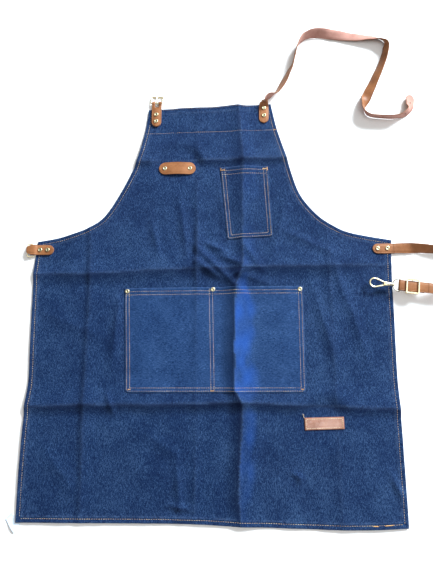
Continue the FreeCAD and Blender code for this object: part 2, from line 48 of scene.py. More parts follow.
CLOTH = 1.0                 # thickness of the denim
PANEL_TOP = 2.4             # top of the cloth where it lies on its turned edge
HEM_WIDTH = 11.5
HEM_STITCH = 7.0            # from the edge to the single row of stitches
STRAP_WIDTH = 20.0
STRAP_THICKNESS = 2.0
STRAP_LYING = 1.8           # middle of a strap that lies flat on the table
TAB_THICKNESS = 1.8         # leather of the chest tab and of the strips folded round a bar
LEATHER_SEAT = 2.45         # back of a leather strip that is riveted to the cloth
HEM_THICKNESS = 1.15        # turned cloth under the panel
UNDER_GAP = 0.06            # between the panel and the turned cloth
HOOK_AXIS = 12.8            # height of the hook's axis over the table
HOLE_RADIUS = 1.4           # punched holes of the neck strap
# A hole's dark mouth is painted shade on a strap with no opening.
HOLE_LIFT = 0.09            # of a hole's dark mouth over the leather

# Outline of the cloth as it lies
BIB_LEFT, BIB_RIGHT = (-132.0, 808.0), (121.5, 817.5)
LEFT_ARMHOLE = [BIB_LEFT, (-139, 756), (-154, 692), (-182, 628), (-212, 578), (-244, 553),
                (-296, 534), (-347, 524)]
RIGHT_ARMHOLE = [BIB_RIGHT, (134, 759), (152, 697), (174, 624), (207.5, 578), (241, 553),
                 (277, 538), (351, 524)]
LEFT_SIDE = [(-347, 524), (-350.5, 462), (-348, 340), (-345.5, 253), (-349, 195), (-351, 100), (-350, 1)]
RIGHT_SIDE = [(351, 524), (348.5, 474), (347, 380), (346.5, 256), (348, 195), (349.5, 100), (350, 1)]
BOTTOM = [(-350, 1), (-58, 3), (50, 0), (248, -3), (350, 1)]
BIB_TOP = [BIB_LEFT, (-60, 811), (0, 812.5), (45, 816), (70, 815.5), BIB_RIGHT]
FACING_LINE = [(-139, 754), (134, 760)]

CHEST_POCKET = [(17.4, 678), (113.2, 680), (121, 533), (32, 527)]
LOWER_POCKET = [(-168, 429), (177, 433), (177, 233), (-159, 231)]
DIVIDER_X = 4.0
LABEL = [(173, 187.5), (244.5, 190), (245, 168.5), (173.5, 165.5)]
CARE_LABEL = [(-370, 5), (-358, 18.5), (-341.5, -1.5), (-353, -18.5)]

# The free straps' routes, as in the CAD. With each point goes the strap's turn about its own line, in
# degrees (0 lies flat with the grain up, 90 stands on its edge, 180 lies flat with the flesh side up),
# and how far it is held above the height at which it would rest on the table.
NECK_ROUTE = [(107, 821.3, -42, 0.2), (109.5, 826.5, -82, 0), (117, 831, -94, 0), (134, 838, -58, 0),
              (149, 864, -50, 0), (161, 889, -62, 0), (172, 914, -84, 0), (177, 947, -83, 0),
              (194, 971, -101, 0), (222, 978, -130, 0), (260, 973.5, -163, 0.5), (298, 968, -190, 0.5),
              (334, 964.5, -215, 0), (359, 960, -236, 0), (365, 941, -294, 0), (354, 905, -306, 0),
              (339, 872, -318, 0), (322, 836, -338, 0), (307, 805, -420, 0), (316, 785, -433, 0),
              (345, 781, -438, 0), (377, 780, -443, 0), (399, 790, -471, 0), (406, 810, -515, 0),
              (407, 832, -524, 0)]
WAIST_ROUTE = [(354.3, 507, 0, 2.05), (377, 507.5, 10, 1), (402, 506.5, 38, 0), (432, 503, 56, 0),
               (472, 498, 74, 0), (520, 497, 88, 0), (570, 503, 90, 0), (612, 506, 90, 0), (642, 489, 90, 0),
               (650, 458, 90, 0), (631, 432, 90, 0), (593, 421, 90, 0), (548, 425, 88, 0),
               (500, 430, 66, 0.5), (460, 425.5, 40, 4), (432, 424, 18, 9), (410.5, 426.9, 0, 13.7)]


def place(x, y, z=0.0):
    return Vector(((x + ORIGIN_SHIFT[0]) * MM, (y + ORIGIN_SHIFT[1]) * MM, z * MM))


# ---------------------------------------------------------------- camera, then the two free straps

def make_camera():
    data = bpy.data.cameras.new("camera")
    data.lens = 29.32
    data.sensor_width = 36.0
    cam = bpy.data.objects.new("camera", data)
    bpy.context.collection.objects.link(cam)
    cam.location = place(42.7, 267.3, 898.0)
    cam.rotation_euler = Euler((math.radians(10.233), math.radians(1.996), math.radians(0.248)), "XYZ")
    bpy.context.scene.camera = cam


def spline_through(name, route):
    """Points along the smooth NURBS line whose control points are the route's."""
    data = bpy.data.curves.new(name, "CURVE")
    data.dimensions = "3D"
    data.resolution_u = 24
    line = data.splines.new("NURBS")
    line.points.add(len(route) - 1)
    for point, (x, y, turn, held) in zip(line.points, route):
        lying = STRAP_LYING + (STRAP_WIDTH / 2 - 0.9) * abs(math.sin(math.radians(turn)))
        point.co = (*place(x, y, lying + held), 1.0)
    line.order_u = 3
    line.use_endpoint_u = True
    curve = bpy.data.objects.new(name, data)
    bpy.context.collection.objects.link(curve)
    mesh = bpy.data.meshes.new_from_object(curve)
    points = [v.co.copy() for v in mesh.vertices]
    bpy.data.objects.remove(curve)
    bpy.data.meshes.remove(mesh)
    return points


def lengths_along(points):
    total = [0.0]
    for a, b in zip(points, points[1:]):
        total.append(total[-1] + (b - a).length)
    return total


def point_at(points, total, s):
    """The point at distance s along a line, given the distances of its points."""
    k = min(max(bisect.bisect_left(total, s), 1), len(total) - 1)
    share = (s - total[k - 1]) / max(total[k] - total[k - 1], 1e-12)
    return points[k - 1].lerp(points[k], share)


def neighbours(items, k):
    """The items before and after the k-th, held at the ends."""
    return items[max(k - 1, 0)], items[min(k + 1, len(items) - 1)]


def evenly(points, step):
    """The same line with a point every step, and its length."""
    total = lengths_along(points)
    count = max(2, round(total[-1] / step) + 1)
    return [point_at(points, total, total[-1] * i / (count - 1)) for i in range(count)], total[-1]


def smooth(t):
    t = min(max(t, 0.0), 1.0)
    return t * t * (3 - 2 * t)


def ripple(x, y, z):
    return noise.noise(Vector((x, y, z)))


def table_value(table, t):
    """Smooth reading of a table of (t, value)."""
    for (t0, v0), (t1, v1) in zip(table, table[1:]):
        if t <= t1:
            return v0 + (v1 - v0) * smooth((t - t0) / (t1 - t0))
    return table[-1][1]


# ---------------------------------------------------------------- meshes

def new_object(name, verts, faces, materials, indices=None, shade_smooth=True):
    mesh = bpy.data.meshes.new(name)
    mesh.from_pydata([tuple(v) for v in verts], [], faces)
    for material in materials:
        mesh.materials.append(material)
    if indices:
        mesh.polygons.foreach_set("material_index", indices)
    mesh.polygons.foreach_set("use_smooth", [shade_smooth] * len(mesh.polygons))
    mesh.update()
    obj = bpy.data.objects.new(name, mesh)
    bpy.context.collection.objects.link(obj)
    return obj


def set_values(obj, name, values):
    layer = obj.data.attributes.new(name, "FLOAT", "POINT")
    layer.data.foreach_set("value", values)


def finish_piece(piece, node_name=None):
    """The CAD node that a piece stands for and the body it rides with."""
    if node_name:
        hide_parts(node_name)
    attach(piece, "apron")


# Cross-section of a leather strap, from its left to its right edge over the grain side and back under.
# Each point is (share of half the width, height over the middle in shares of half the thickness).
GRAIN = [(-1.0, 0.0), (-0.985, 0.55), (-0.95, 0.88), (-0.90, 1.0), (-0.83, 1.0), (-0.795, 0.8),
         (-0.76, 1.0), (-0.35, 1.04), (0.35, 1.04), (0.76, 1.0), (0.795, 0.8), (0.83, 1.0), (0.90, 1.0),
         (0.95, 0.88), (0.985, 0.55), (1.0, 0.0)]
FLESH = [(0.985, -0.6), (0.94, -0.95), (0.35, -1.0), (-0.35, -1.0), (-0.94, -0.95), (-0.985, -0.6)]
SECTION = GRAIN + FLESH
FIRST_SLOT, LAST_SLOT = 7, 8        # the two middle points of the grain side, either side of a slot
SLOT_SIDE = 0.35                    # how far across those points stand where there is no slot


def strap_mesh(name, stations, thickness, materials, slot=None):
    """Leather swept along stations of (middle, width direction, grain normal, half width, slot half).
    materials are grain, flesh and edge. A station with a slot half over 0 leaves its middle open."""
    count = len(SECTION)
    verts, faces, indices = [], [], []
    for middle, across, normal, half, open_half in stations:
        for i, (u, h) in enumerate(SECTION):
            if slot and abs(abs(u) - SLOT_SIDE) < 0.001:
                u = math.copysign(max(open_half / half, 0.02), u)
            verts.append(middle + across * (u * half * MM) + normal * (h * thickness / 2 * MM))
    low_slot = len(GRAIN) + 2

    def add(face, index):
        faces.append(face)
        indices.append(index)

    for k in range(len(stations) - 1):
        a, b = k * count, (k + 1) * count
        is_open = slot is not None and stations[k][4] > 0 and stations[k + 1][4] > 0
        for i in range(count):
            j = (i + 1) % count
            if is_open and i in (FIRST_SLOT, low_slot):
                continue
            kind = 0 if 2 <= i < len(GRAIN) - 3 else 1 if len(GRAIN) <= i < count - 1 else 2
            add((a + i, b + i, b + j, a + j), kind)
        if is_open:
            add((a + FIRST_SLOT, b + FIRST_SLOT, b + low_slot + 1, a + low_slot + 1), 2)
            add((a + LAST_SLOT, a + low_slot, b + low_slot, b + LAST_SLOT), 2)
    last = (len(stations) - 1) * count
    for ring, turned in ((range(count), False), (range(last, last + count), True)):
        cap = range(len(verts), len(verts) + count)
        verts.extend([verts[i].copy() for i in ring])
        add(tuple(reversed(cap)) if turned else tuple(cap), 2)
    return new_object(name, verts, faces, materials, indices)


def round_end(s, half):
    """Half width at distance s from a round end, of a strap of this half width."""
    if s >= half:
        return half
    return max(math.sqrt(max(half * half - (half - s) ** 2, 0.0)), 0.35)


def end_steps(half):
    """Distances from a round end that follow its curve."""
    return [half * (1 - math.cos(math.radians(a))) for a in (0, 8, 18, 30, 42, 55, 68, 80, 90)]


# ---------------------------------------------------------------- cloth surface

def curve_points(points, step=3.0):
    """A smooth line through given points (Catmull-Rom), with a point about every step."""
    result = []
    padded = [points[0], *points, points[-1]]
    for k in range(1, len(padded) - 2):
        p0, p1, p2, p3 = (Vector(p) for p in padded[k - 1:k + 3])
        count = max(2, round((p2 - p1).length / step))
        for i in range(count):
            t = i / count
            result.append(0.5 * (2 * p1 + (p2 - p0) * t + (2 * p0 - 5 * p1 + 4 * p2 - p3) * t * t
                                 + (3 * p1 - p0 - 3 * p2 + p3) * t ** 3))
    result.append(Vector(points[-1]))
    return result


EDGES = {
    "left_armhole_hem": curve_points(LEFT_ARMHOLE),
    "left_side_hem": curve_points(LEFT_SIDE),
    "bottom_hem": curve_points(BOTTOM),
    "right_side_hem": curve_points(RIGHT_SIDE)[::-1],
    "right_armhole_hem": curve_points(RIGHT_ARMHOLE)[::-1],
    "bib_top": curve_points(BIB_TOP)[::-1],
}


def outline_loop():
    """The outline once round, anticlockwise, without repeated corners."""
    loop = []
    for points in EDGES.values():
        loop.extend(points[:-1])
    return loop


OUTLINE = outline_loop()
OUTLINE_AT = lengths_along(OUTLINE)
OUTLINE_TREE = kdtree.KDTree(len(OUTLINE))
for i, p in enumerate(OUTLINE):
    OUTLINE_TREE.insert((p.x, p.y, 0), i)
OUTLINE_TREE.balance()


def edge_distance(x, y):
    """Distance from the cloth's edge, and how far along the outline that is."""
    _, i, _ = OUTLINE_TREE.find((x, y, 0))
    best, where = 1e9, 0.0
    point = Vector((x, y))
    for a, b in ((i - 1, i), (i, (i + 1) % len(OUTLINE))):
        p, q = OUTLINE[a], OUTLINE[b]
        run = q - p
        t = min(max((point - p).dot(run) / max(run.length_squared, 1e-9), 0), 1)
        d = (p + run * t - point).length
        if d < best:
            best, where = d, OUTLINE_AT[a] + run.length * t
    return best, where


def line_value(table, t):
    """Reading of a table of (t, value) with straight runs, held at its ends."""
    if t <= table[0][0]:
        return table[0][1]
    for (t0, v0), (t1, v1) in zip(table, table[1:]):
        if t <= t1:
            return v0 + (v1 - v0) * (t - t0) / (t1 - t0)
    return table[-1][1]


# Storage folds pressed into the cloth: where each runs, how high its crest stands along it, and how
# wide its two flanks are (towards the bib or the right-hand side, then the other way).
LEVEL_FOLDS = [
    ([(-160, 692), (-24, 694), (155, 698)],
     [(-160, 4.4), (-90, 5.6), (0, 5.0), (60, 5.4), (155, 4.4)], 62, 15),
    ([(-352, 459), (-236, 458), (-110, 466), (72, 471), (344, 475)],
     [(-352, 4.2), (-236, 6.0), (-150, 4.6), (-20, 5.2), (72, 6.6), (150, 5.6), (344, 4.6)], 56, 26),
    ([(-350, 204), (-238, 209), (-82, 210), (55, 215), (173, 210), (347, 205)],
     [(-350, 4.6), (-238, 6.8), (-150, 5.4), (-40, 6.2), (55, 7.6), (140, 6.4), (250, 5.6),
      (347, 4.6)], 50, 20),
]
UPRIGHT_FOLDS = [
    ([(0, 57), (51, 53), (211, 59), (237, 46), (430, 46), (473, 62), (600, 62), (700, 63), (815, 55)],
     [(0, 3.4), (40, 6.0), (120, 7.4), (215, 8.0), (240, 8.6), (320, 8.8), (430, 7.2), (470, 6.0), (560, 3.0),
      (690, 4.2), (815, 3.4)], 46, 26),
    ([(0, -234), (129, -236), (208, -238), (460, -236), (550, -241)],
     [(0, 1.6), (100, 2.8), (208, 3.6), (320, 2.2), (460, 3.4), (550, 1.6)], 34, 11),
    ([(0, -26), (90, -27), (480, -28), (600, -29), (815, -30)],
     [(0, 0.6), (70, 2.4), (130, 0.8), (300, 0.6), (440, 2.0), (520, 5.2), (575, 2.0), (815, 0.4)], 20, 9),
    ([(0, 236), (208, 232), (460, 230), (540, 228)],
     [(0, 1.2), (208, 2.2), (330, 1.4), (460, 2.4), (540, 0.8)], 34, 22),
]
# Short wrinkles: from, to, height, half width
WRINKLES = [((-24, 506), (47, 436), 5.4, 13), ((-24, 480), (14, 452), 5.4, 11),
            ((-10, 520), (30, 500), 4.4, 12), ((22, 492), (58, 478), 4.6, 10),
            ((40, 452), (66, 466), 4.4, 9), ((-48, 470), (-20, 486), 2.4, 9),
            ((-69, 33), (-35, 27), 3.2, 9), ((150, 90), (164, 83), 3.2, 8), ((166, 84), (158, 74), 2.6, 7),
            ((326, 87), (342, 50), 3.4, 10), ((-192, 225), (-181, 196), 3.2, 9),
            ((60, 455), (110, 440), 3.0, 13), ((62, 520), (95, 470), 2.8, 14),
            ((-110, 150), (-60, 120), 1.8, 20), ((90, 150), (60, 60), 2.6, 18),
            ((-300, 120), (-250, 60), 2.0, 24), ((205, 400), (232, 300), 3.8, 20),
            ((262, 410), (285, 320), 3.0, 18), ((240, 470), (256, 410), 2.8, 14),
            ((-178, 400), (-186, 300), 3.2, 14), ((-320, 380), (-220, 340), 2.0, 28),
            ((-60, 100), (-52, 20), 2.8, 12), ((150, 540), (235, 500), 2.6, 16),
            ((150, 610), (120, 500), 2.4, 18), ((-62, 600), (-48, 500), 3.0, 13),
            ((-118, 560), (-104, 500), 2.4, 13), ((18, 620), (30, 540), 2.4, 12),
            ((-40, 90), (-66, 60), 2.2, 9), ((300, 455), (330, 400), 2.4, 14),
            ((-20, 12), (-62, 10), 2.0, 7)]
# Places where hardware sits, so the cloth is flat there: centre, flat radius, radius where it ends
FLAT_SPOTS = [((-116, 795), 32, 60), ((107, 795), 30, 60), ((-328, 507), 26, 60), ((333, 507), 28, 60),
              ((-70, 677), 40, 60), ((-163, 424), 9, 26), ((DIVIDER_X, 427), 9, 26), ((171.5, 427.5), 9, 26),
              ((318, 437), 30, 75), ((209, 178), 26, 60)]


def ridge(distance, up_side, low_side):
    """A pressed crease: a sharp crest between two flanks of these widths."""
    away = (math.sqrt(distance * distance + 1.4) - 1.18) / (up_side if distance > 0 else low_side)
    return max(1 - away, 0) ** 1.6


def flatness(x, y):
    """0 where hardware holds the cloth flat, 1 away from it."""
    value = 1.0
    for (cx, cy), inner, outer in FLAT_SPOTS:
        d = math.hypot(x - cx, y - cy)
        if d < outer:
            value = min(value, smooth((d - inner) / (outer - inner)))
    return value


def beside(x, y, start, stop):
    """Share of the way along a wrinkle, and the signed distance off its line."""
    rx, ry = stop[0] - start[0], stop[1] - start[1]
    dx, dy = x - start[0], y - start[1]
    return (dx * rx + dy * ry) / (rx * rx + ry * ry), (dx * ry - dy * rx) / math.hypot(rx, ry)


def fold_wander(x, y, level):
    """How far a fold's crest strays from its line."""
    return 2.4 * (ripple(x / 45, y / 200, 3.1) if level else ripple(x / 200, y / 45, 7.7))


def fold_readings(x, y):
    """Distance off the crest, crest height and flank widths, for each fold that reaches this place."""
    for folds, across, along in ((LEVEL_FOLDS, y, x), (UPRIGHT_FOLDS, x, y)):
        wander = fold_wander(x, y, folds is LEVEL_FOLDS)
        for where, crest, up_side, low_side in folds:
            d = across - line_value(where, along) - wander
            if -low_side < d < up_side:
                yield d, line_value(crest, along), up_side, low_side


def relief(x, y):
    """Creases and waves of the cloth above its lying height, in millimetres."""
    z = 0.0
    for d, crest, up_side, low_side in fold_readings(x, y):
        z += crest * ridge(d, up_side, low_side)
    for start, stop, height, width in WRINKLES:
        t, d = beside(x, y, start, stop)
        if -0.6 < t < 1.6 and abs(d) < width:
            z += height * ridge(abs(d), width, width) * smooth(1 - abs(t - 0.5) / 1.1)
    slow = ripple(x / 130, y / 130, 0.5)
    middle = ripple(x / 48, y / 48, 4.5)
    quick = ripple(x / 19, y / 19, 9.5)
    z += 1.5 * (slow + 0.5) + 0.8 * middle + 0.2 * quick
    return max(z, -0.25) * flatness(x, y)


def hem_relief(d, s):
    """The turned edge: a thicker band, a pressed line of stitches and the puckers beside it."""
    if d > 26:
        return 0.0
    band = 0.55 * (1 - smooth((d - HEM_WIDTH + 1.5) / 3.0))
    pressed = -0.45 * math.exp(-((d - HEM_STITCH) / 1.3) ** 2)
    rope = ripple(s / 5.5 - d * 0.22, d / 14, 1.7)
    wave = ripple(s / 24, d / 40, 5.2)
    return band + pressed + 0.5 * rope * math.exp(-((d - 6) / 6) ** 2) + 0.5 * wave * math.exp(-(d / 12) ** 2)


def facing_relief(x, y):
    if y < 700:
        return 0.0
    d = y - (FACING_LINE[0][1] + (x - FACING_LINE[0][0]) * 6 / 273)
    band = 0.35 * smooth((d + 1.5) / 3.0)
    return band - 0.4 * math.exp(-(d / 1.4) ** 2) + 0.3 * ripple(x / 7, d / 9, 2.2) * math.exp(-(d / 6) ** 2)


def surface(x, y):
    """Height of the top of the panel, in millimetres."""
    d, s = edge_distance(x, y)
    z = PANEL_TOP + relief(x, y) + (hem_relief(d, s) + facing_relief(x, y)) * (0.35 + 0.65 * flatness(x, y))
    curl = 0.9 * max(ripple(s / 60, 0.0, 8.8), 0) * math.exp(-d / 22) * flatness(x, y)
    return max(z + curl, PANEL_TOP - 0.3)


def crease_wear(x, y):
    """How much the crest of a fold is rubbed pale."""
    value = 0.0
    for folds, across, along in ((LEVEL_FOLDS, y, x), (UPRIGHT_FOLDS, x, y)):
        for where, crest, _, _ in folds:
            d = abs(across - line_value(where, along))
            if d < 12:
                value = max(value, math.exp(-(d / 2.2) ** 2) * line_value(crest, along) / 20.0)
    return value


# Painted highlight on the lit flank of the strong upright fold, along its length: distance up the cloth,
# strength, width
PAINTED_HIGHLIGHT_BAND = [(0, 0.15, 22), (60, 0.35, 24), (110, 0.75, 30), (195, 0.7, 26), (215, 0.25, 20), (240, 0.9, 40),
          (320, 1.2, 40), (410, 1.0, 34), (440, 0.7, 26), (470, 0.3, 22), (560, 0.12, 26), (640, 0.2, 30),
          (700, 0.1, 26), (815, 0.12, 30)]


def pressed(x, y):
    """Painted light and shade at the folds, for the colour: over 0 a painted highlight on the lit flank of
    the strong upright fold, under 0 painted shade on the fold and wrinkle flanks away from the light.
    """
    value = 0.0
    # Painted shade on the flank of each fold that faces away from the light, darkest just beside the crest.
    for d, crest, _, low_side in fold_readings(x, y):
        if d < 0:
            away = 1 + d / low_side
            value -= crest / 6.0 * (0.45 * away ** 1.5 + 0.55 * away ** 7) * smooth((-d + 1) / 2.5)
    # Painted shade along each wrinkle, on its side away from the light.
    for start, stop, height, width in WRINKLES:
        t, d = beside(x, y, start, stop)
        if -0.3 < t < 1.3 and -1 < d < width:
            value -= height / width * math.exp(-((d - 2) / 3) ** 2) * smooth(1 - abs(t - 0.5) / 0.8)
    # Painted highlight on the lit flank of the strong upright fold.
    d = x - line_value(UPRIGHT_FOLDS[0][0], y) - fold_wander(x, y, False)
    width = line_value([(v, w) for v, _, w in PAINTED_HIGHLIGHT_BAND], y) * (1 + 0.5 * ripple(0.4, y / 35, 2.0))
    if 0 <= d < width * 1.25:
        # The painted highlight varies in strength along and across the fold.
        highlight_unevenness = 0.75 + 0.9 * ripple(x / 14, y / 30, 6.6)
        value += line_value([(v, h) for v, h, _ in PAINTED_HIGHLIGHT_BAND], y) * highlight_unevenness * smooth(2 - 1.6 * d / width)
    return min(max(value, -1.0), 1.5)


# ---------------------------------------------------------------- materials

def material(name, build):
    mat = bpy.data.materials.new(name)
    mat.use_nodes = True
    tree = mat.node_tree
    tree.nodes.clear()
    out = tree.nodes.new("ShaderNodeOutputMaterial")
    shader = tree.nodes.new("ShaderNodeBsdfPrincipled")
    tree.links.new(shader.outputs[0], out.inputs[0])
    build(tree, shader)
    return mat


def set_inputs(item, **values):
    for key, value in values.items():
        item.inputs[key.replace("_", " ")].default_value = value


def node(tree, kind, **inputs):
    item = tree.nodes.new(kind)
    set_inputs(item, **inputs)
    return item


def texture(tree, kind, scale, **inputs):
    """A texture on the piece's own coordinates, scaled along each axis."""
    item = node(tree, kind, Scale=1.0, **inputs)
    coords = tree.nodes.new("ShaderNodeTexCoord")
    mapping = node(tree, "ShaderNodeMapping", Scale=scale)
    tree.links.new(coords.outputs["Object"], mapping.inputs["Vector"])
    tree.links.new(mapping.outputs[0], item.inputs["Vector"])
    return item


def noise_at(tree, scale, detail=3.0, rough=0.6):
    return texture(tree, "ShaderNodeTexNoise", scale, Detail=detail, Roughness=rough).outputs["Fac"]


def attribute(tree, name):
    item = tree.nodes.new("ShaderNodeAttribute")
    item.attribute_name = name
    return item.outputs["Fac"]


def ramp(tree, source, stops):
    item = tree.nodes.new("ShaderNodeValToRGB")
    elements = item.color_ramp.elements
    elements[0].position, elements[0].color = stops[0][0], (*stops[0][1], 1)
    elements[1].position, elements[1].color = stops[-1][0], (*stops[-1][1], 1)
    for position, color in stops[1:-1]:
        elements.new(position).color = (*color, 1)
    tree.links.new(source, item.inputs[0])
    return item.outputs[0]


def base_color(tree, shader, source, stops):
    tree.links.new(ramp(tree, source, stops), shader.inputs["Base Color"])


def rough_between(tree, shader, source, low, high):
    """Roughness that follows a pattern from low to high."""
    item = node(tree, "ShaderNodeMapRange", To_Min=low, To_Max=high)
    tree.links.new(source, item.inputs["Value"])
    tree.links.new(item.outputs[0], shader.inputs["Roughness"])


def connect(tree, socket, value):
    """Put a number, a colour or another node's output into a socket."""
    if isinstance(value, (int, float)):
        socket.default_value = value
    elif isinstance(value, tuple):
        socket.default_value = (*value, 1)
    else:
        tree.links.new(value, socket)


def math_node(tree, operation, a, b):
    item = tree.nodes.new("ShaderNodeMath")
    item.operation = operation
    connect(tree, item.inputs[0], a)
    connect(tree, item.inputs[1], b)
    return item.outputs[0]


def weighted_sum(tree, *parts):
    """Patterns added up, each times its weight."""
    scaled = [math_node(tree, "MULTIPLY", source, weight) for source, weight in parts]
    total = scaled[0]
    for part in scaled[1:]:
        total = math_node(tree, "ADD", total, part)
    return total


def mix_color(tree, factor, a, b):
    item = tree.nodes.new("ShaderNodeMix")
    item.data_type = "RGBA"
    for index, value in ((0, factor), (6, a), (7, b)):
        connect(tree, item.inputs[index], value)
    return item.outputs[2]


def bump(tree, shader, source, strength, distance):
    item = node(tree, "ShaderNodeBump", Strength=strength, Distance=distance)
    tree.links.new(source, item.inputs["Height"])
    tree.links.new(item.outputs[0], shader.inputs["Normal"])


def denim(name, dark, base, light, painted_highlight_color, slub_across=False):
    """Indigo twill: pale weft specks, uneven warp threads, soft blotches, rubbed creases, and painted
    highlight and painted shade on the fold flanks.
    """
    def build(tree, shader):
        along, across = 210.0, 1050.0
        slub = noise_at(tree, (along, across, across) if slub_across else (across, along, across), 2.0, 0.7)
        speck = noise_at(tree, (1000, 760, 900), 2.0, 0.7)
        patch = noise_at(tree, (26, 26, 26), 4.0, 0.62)
        cloud = noise_at(tree, (7, 7, 7), 2.0, 0.5)
        wave = texture(tree, "ShaderNodeTexWave", (1700, 1700, 1700), Distortion=0.6, Detail=1.0)
        wave.bands_direction = "DIAGONAL"
        twill = wave.outputs["Fac"]
        weave = weighted_sum(tree, (slub, 0.42), (speck, 0.44), (patch, 0.12), (cloud, 0.08), (twill, 0.05))
        color = ramp(tree, weave, [(0.45, dark), (0.56, base), (0.67, light)])
        rubbed = math_node(tree, "MULTIPLY", attribute(tree, "wear"), speck)
        color = mix_color(tree, rubbed, color, (0.10, 0.16, 0.28))
        # Painted highlight on the lit fold flank, towards the last colour, and painted shade on the flanks
        # away from the light, towards the dark colour.
        fold = attribute(tree, "pressed")
        painted_highlight_share = math_node(tree, "MULTIPLY", math_node(tree, "MAXIMUM", fold, 0.0), 0.42)
        painted_shade_share = math_node(tree, "MULTIPLY", math_node(tree, "MINIMUM", fold, 0.0), -0.85)
        color = mix_color(tree, painted_highlight_share, color, painted_highlight_color)
        color = mix_color(tree, painted_shade_share, color, dark)
        tree.links.new(color, shader.inputs["Base Color"])
        rough_between(tree, shader, speck, 0.74, 0.92)
        set_inputs(shader, Sheen_Weight=0.02, Sheen_Roughness=0.5, Sheen_Tint=(0.35, 0.5, 0.9, 1),
                   Specular_IOR_Level=0.1)
        height = math_node(tree, "ADD", math_node(tree, "MULTIPLY", twill, 0.5), slub)
        bump(tree, shader, height, 0.5, 0.0004)
    return material(name, build)


def leather(name, dark, base, light, roughness, pore_depth, coat=0.0, shine=0.18):
    """Vegetable-tanned leather: cloudy colour, pores and a satin face."""
    def build(tree, shader):
        cloud = noise_at(tree, (38, 38, 38), 4.0, 0.6)
        grain = noise_at(tree, (900, 900, 900), 3.0, 0.65)
        mixed = weighted_sum(tree, (cloud, 0.7), (grain, 0.3))
        base_color(tree, shader, mixed, [(0.34, dark), (0.52, base), (0.7, light)])
        pores = texture(tree, "ShaderNodeTexVoronoi", (1300, 1300, 1300))
        rough_between(tree, shader, cloud, roughness - 0.08, roughness + 0.12)
        set_inputs(shader, Specular_IOR_Level=shine, Coat_Weight=coat, Coat_Roughness=0.14)
        bump(tree, shader, math_node(tree, "ADD", pores.outputs["Distance"], grain), 0.35, pore_depth)
    return material(name, build)


def metal(name, dark, base, roughness):
    def build(tree, shader):
        cloud = noise_at(tree, (160, 160, 160), 3.0, 0.6)
        base_color(tree, shader, cloud, [(0.35, dark), (0.6, base)])
        set_inputs(shader, Metallic=1.0)
        rough_between(tree, shader, cloud, roughness, roughness + 0.14)
        bump(tree, shader, noise_at(tree, (900, 900, 900)), 0.08, 0.0001)
    return material(name, build)


def thread(name, dark, base, light):
    def build(tree, shader):
        cloud = noise_at(tree, (60, 60, 60), 3.0, 0.6)
        base_color(tree, shader, cloud, [(0.35, dark), (0.5, base), (0.68, light)])
        set_inputs(shader, Roughness=0.7)
        twist = texture(tree, "ShaderNodeTexWave", (2600, 2600, 2600), Distortion=0.5)
        bump(tree, shader, twist.outputs["Fac"], 0.4, 0.0002)
    return material(name, build)


def satin(name):
    def build(tree, shader):
        cloud = noise_at(tree, (90, 90, 90), 2.0, 0.5)
        base_color(tree, shader, cloud, [(0.3, (0.55, 0.68, 0.82)), (0.7, (0.78, 0.86, 0.95))])
        set_inputs(shader, Roughness=0.35, Sheen_Weight=0.3)
        weave = texture(tree, "ShaderNodeTexWave", (1500, 1500, 1500))
        bump(tree, shader, weave.outputs["Fac"], 0.2, 0.0002)
    return material(name, build)


def plain_floor(name):
    def build(tree, shader):
        cloud = noise_at(tree, (3, 3, 3), 2.0, 0.5)
        base_color(tree, shader, cloud, [(0.3, (0.86, 0.86, 0.86)), (0.7, (0.88, 0.88, 0.88))])
        set_inputs(shader, Roughness=0.9)
    return material(name, build)


# The last colour given to each denim is the painted highlight of a lit fold flank.
DENIM = denim("denim_twill", (0.0006, 0.0045, 0.026), (0.0032, 0.0152, 0.060), (0.037, 0.080, 0.170),
              (0.012, 0.058, 0.26))
POCKET = denim("denim_pocket", (0.0025, 0.011, 0.044), (0.0088, 0.031, 0.100), (0.036, 0.083, 0.195),
               (0.012, 0.068, 0.33), True)
REVERSE = denim("denim_reverse", (0.07, 0.10, 0.19), (0.17, 0.23, 0.36), (0.38, 0.44, 0.55),
                (0.3, 0.36, 0.48))
GRAIN_SIDE = leather("leather_grain", (0.165, 0.060, 0.023), (0.25, 0.099, 0.039), (0.31, 0.130, 0.057),
                     0.46, 0.0003)
FLESH_SIDE = leather("leather_flesh", (0.27, 0.128, 0.10), (0.36, 0.185, 0.15), (0.42, 0.235, 0.19),
                     0.85, 0.0006)
CUT_EDGE = leather("leather_edge", (0.13, 0.052, 0.023), (0.20, 0.088, 0.042), (0.28, 0.14, 0.08),
                   0.7, 0.0004)
LABEL_SIDE = leather("leather_label", (0.17, 0.062, 0.033), (0.265, 0.115, 0.074), (0.35, 0.178, 0.12),
                     0.26, 0.0002, 0.55, 0.3)
GOLD = metal("pale_gold", (0.74, 0.62, 0.34), (0.86, 0.78, 0.56), 0.26)
RIVET_GOLD = metal("rivet_gold", (0.46, 0.40, 0.23), (0.60, 0.54, 0.36), 0.32)
EYE_GOLD = metal("worn_gold", (0.27, 0.25, 0.20), (0.42, 0.39, 0.32), 0.42)
DIMPLE = metal("rivet_dimple", (0.06, 0.055, 0.03), (0.20, 0.18, 0.11), 0.6)
STEEL = metal("spring_steel", (0.4, 0.4, 0.42), (0.6, 0.6, 0.62), 0.3)
TAN_THREAD = thread("thread_tan", (0.20, 0.13, 0.06), (0.42, 0.30, 0.17), (0.62, 0.48, 0.28))
PALE_THREAD = thread("thread_pale", (0.36, 0.26, 0.15), (0.60, 0.45, 0.28), (0.75, 0.62, 0.42))
ORANGE_THREAD = thread("thread_orange", (0.40, 0.19, 0.04), (0.62, 0.33, 0.09), (0.75, 0.46, 0.18))
# Painted shade for the mouths of the punched holes.
HOLE_SHADE = leather("hole_painted_shade", (0.02, 0.008, 0.004), (0.05, 0.02, 0.01), (0.09, 0.04, 0.02), 0.8, 0.0002)
LEATHERS = [GRAIN_SIDE, FLESH_SIDE, CUT_EDGE]
SATIN = satin("label_satin")


# ---------------------------------------------------------------- straps

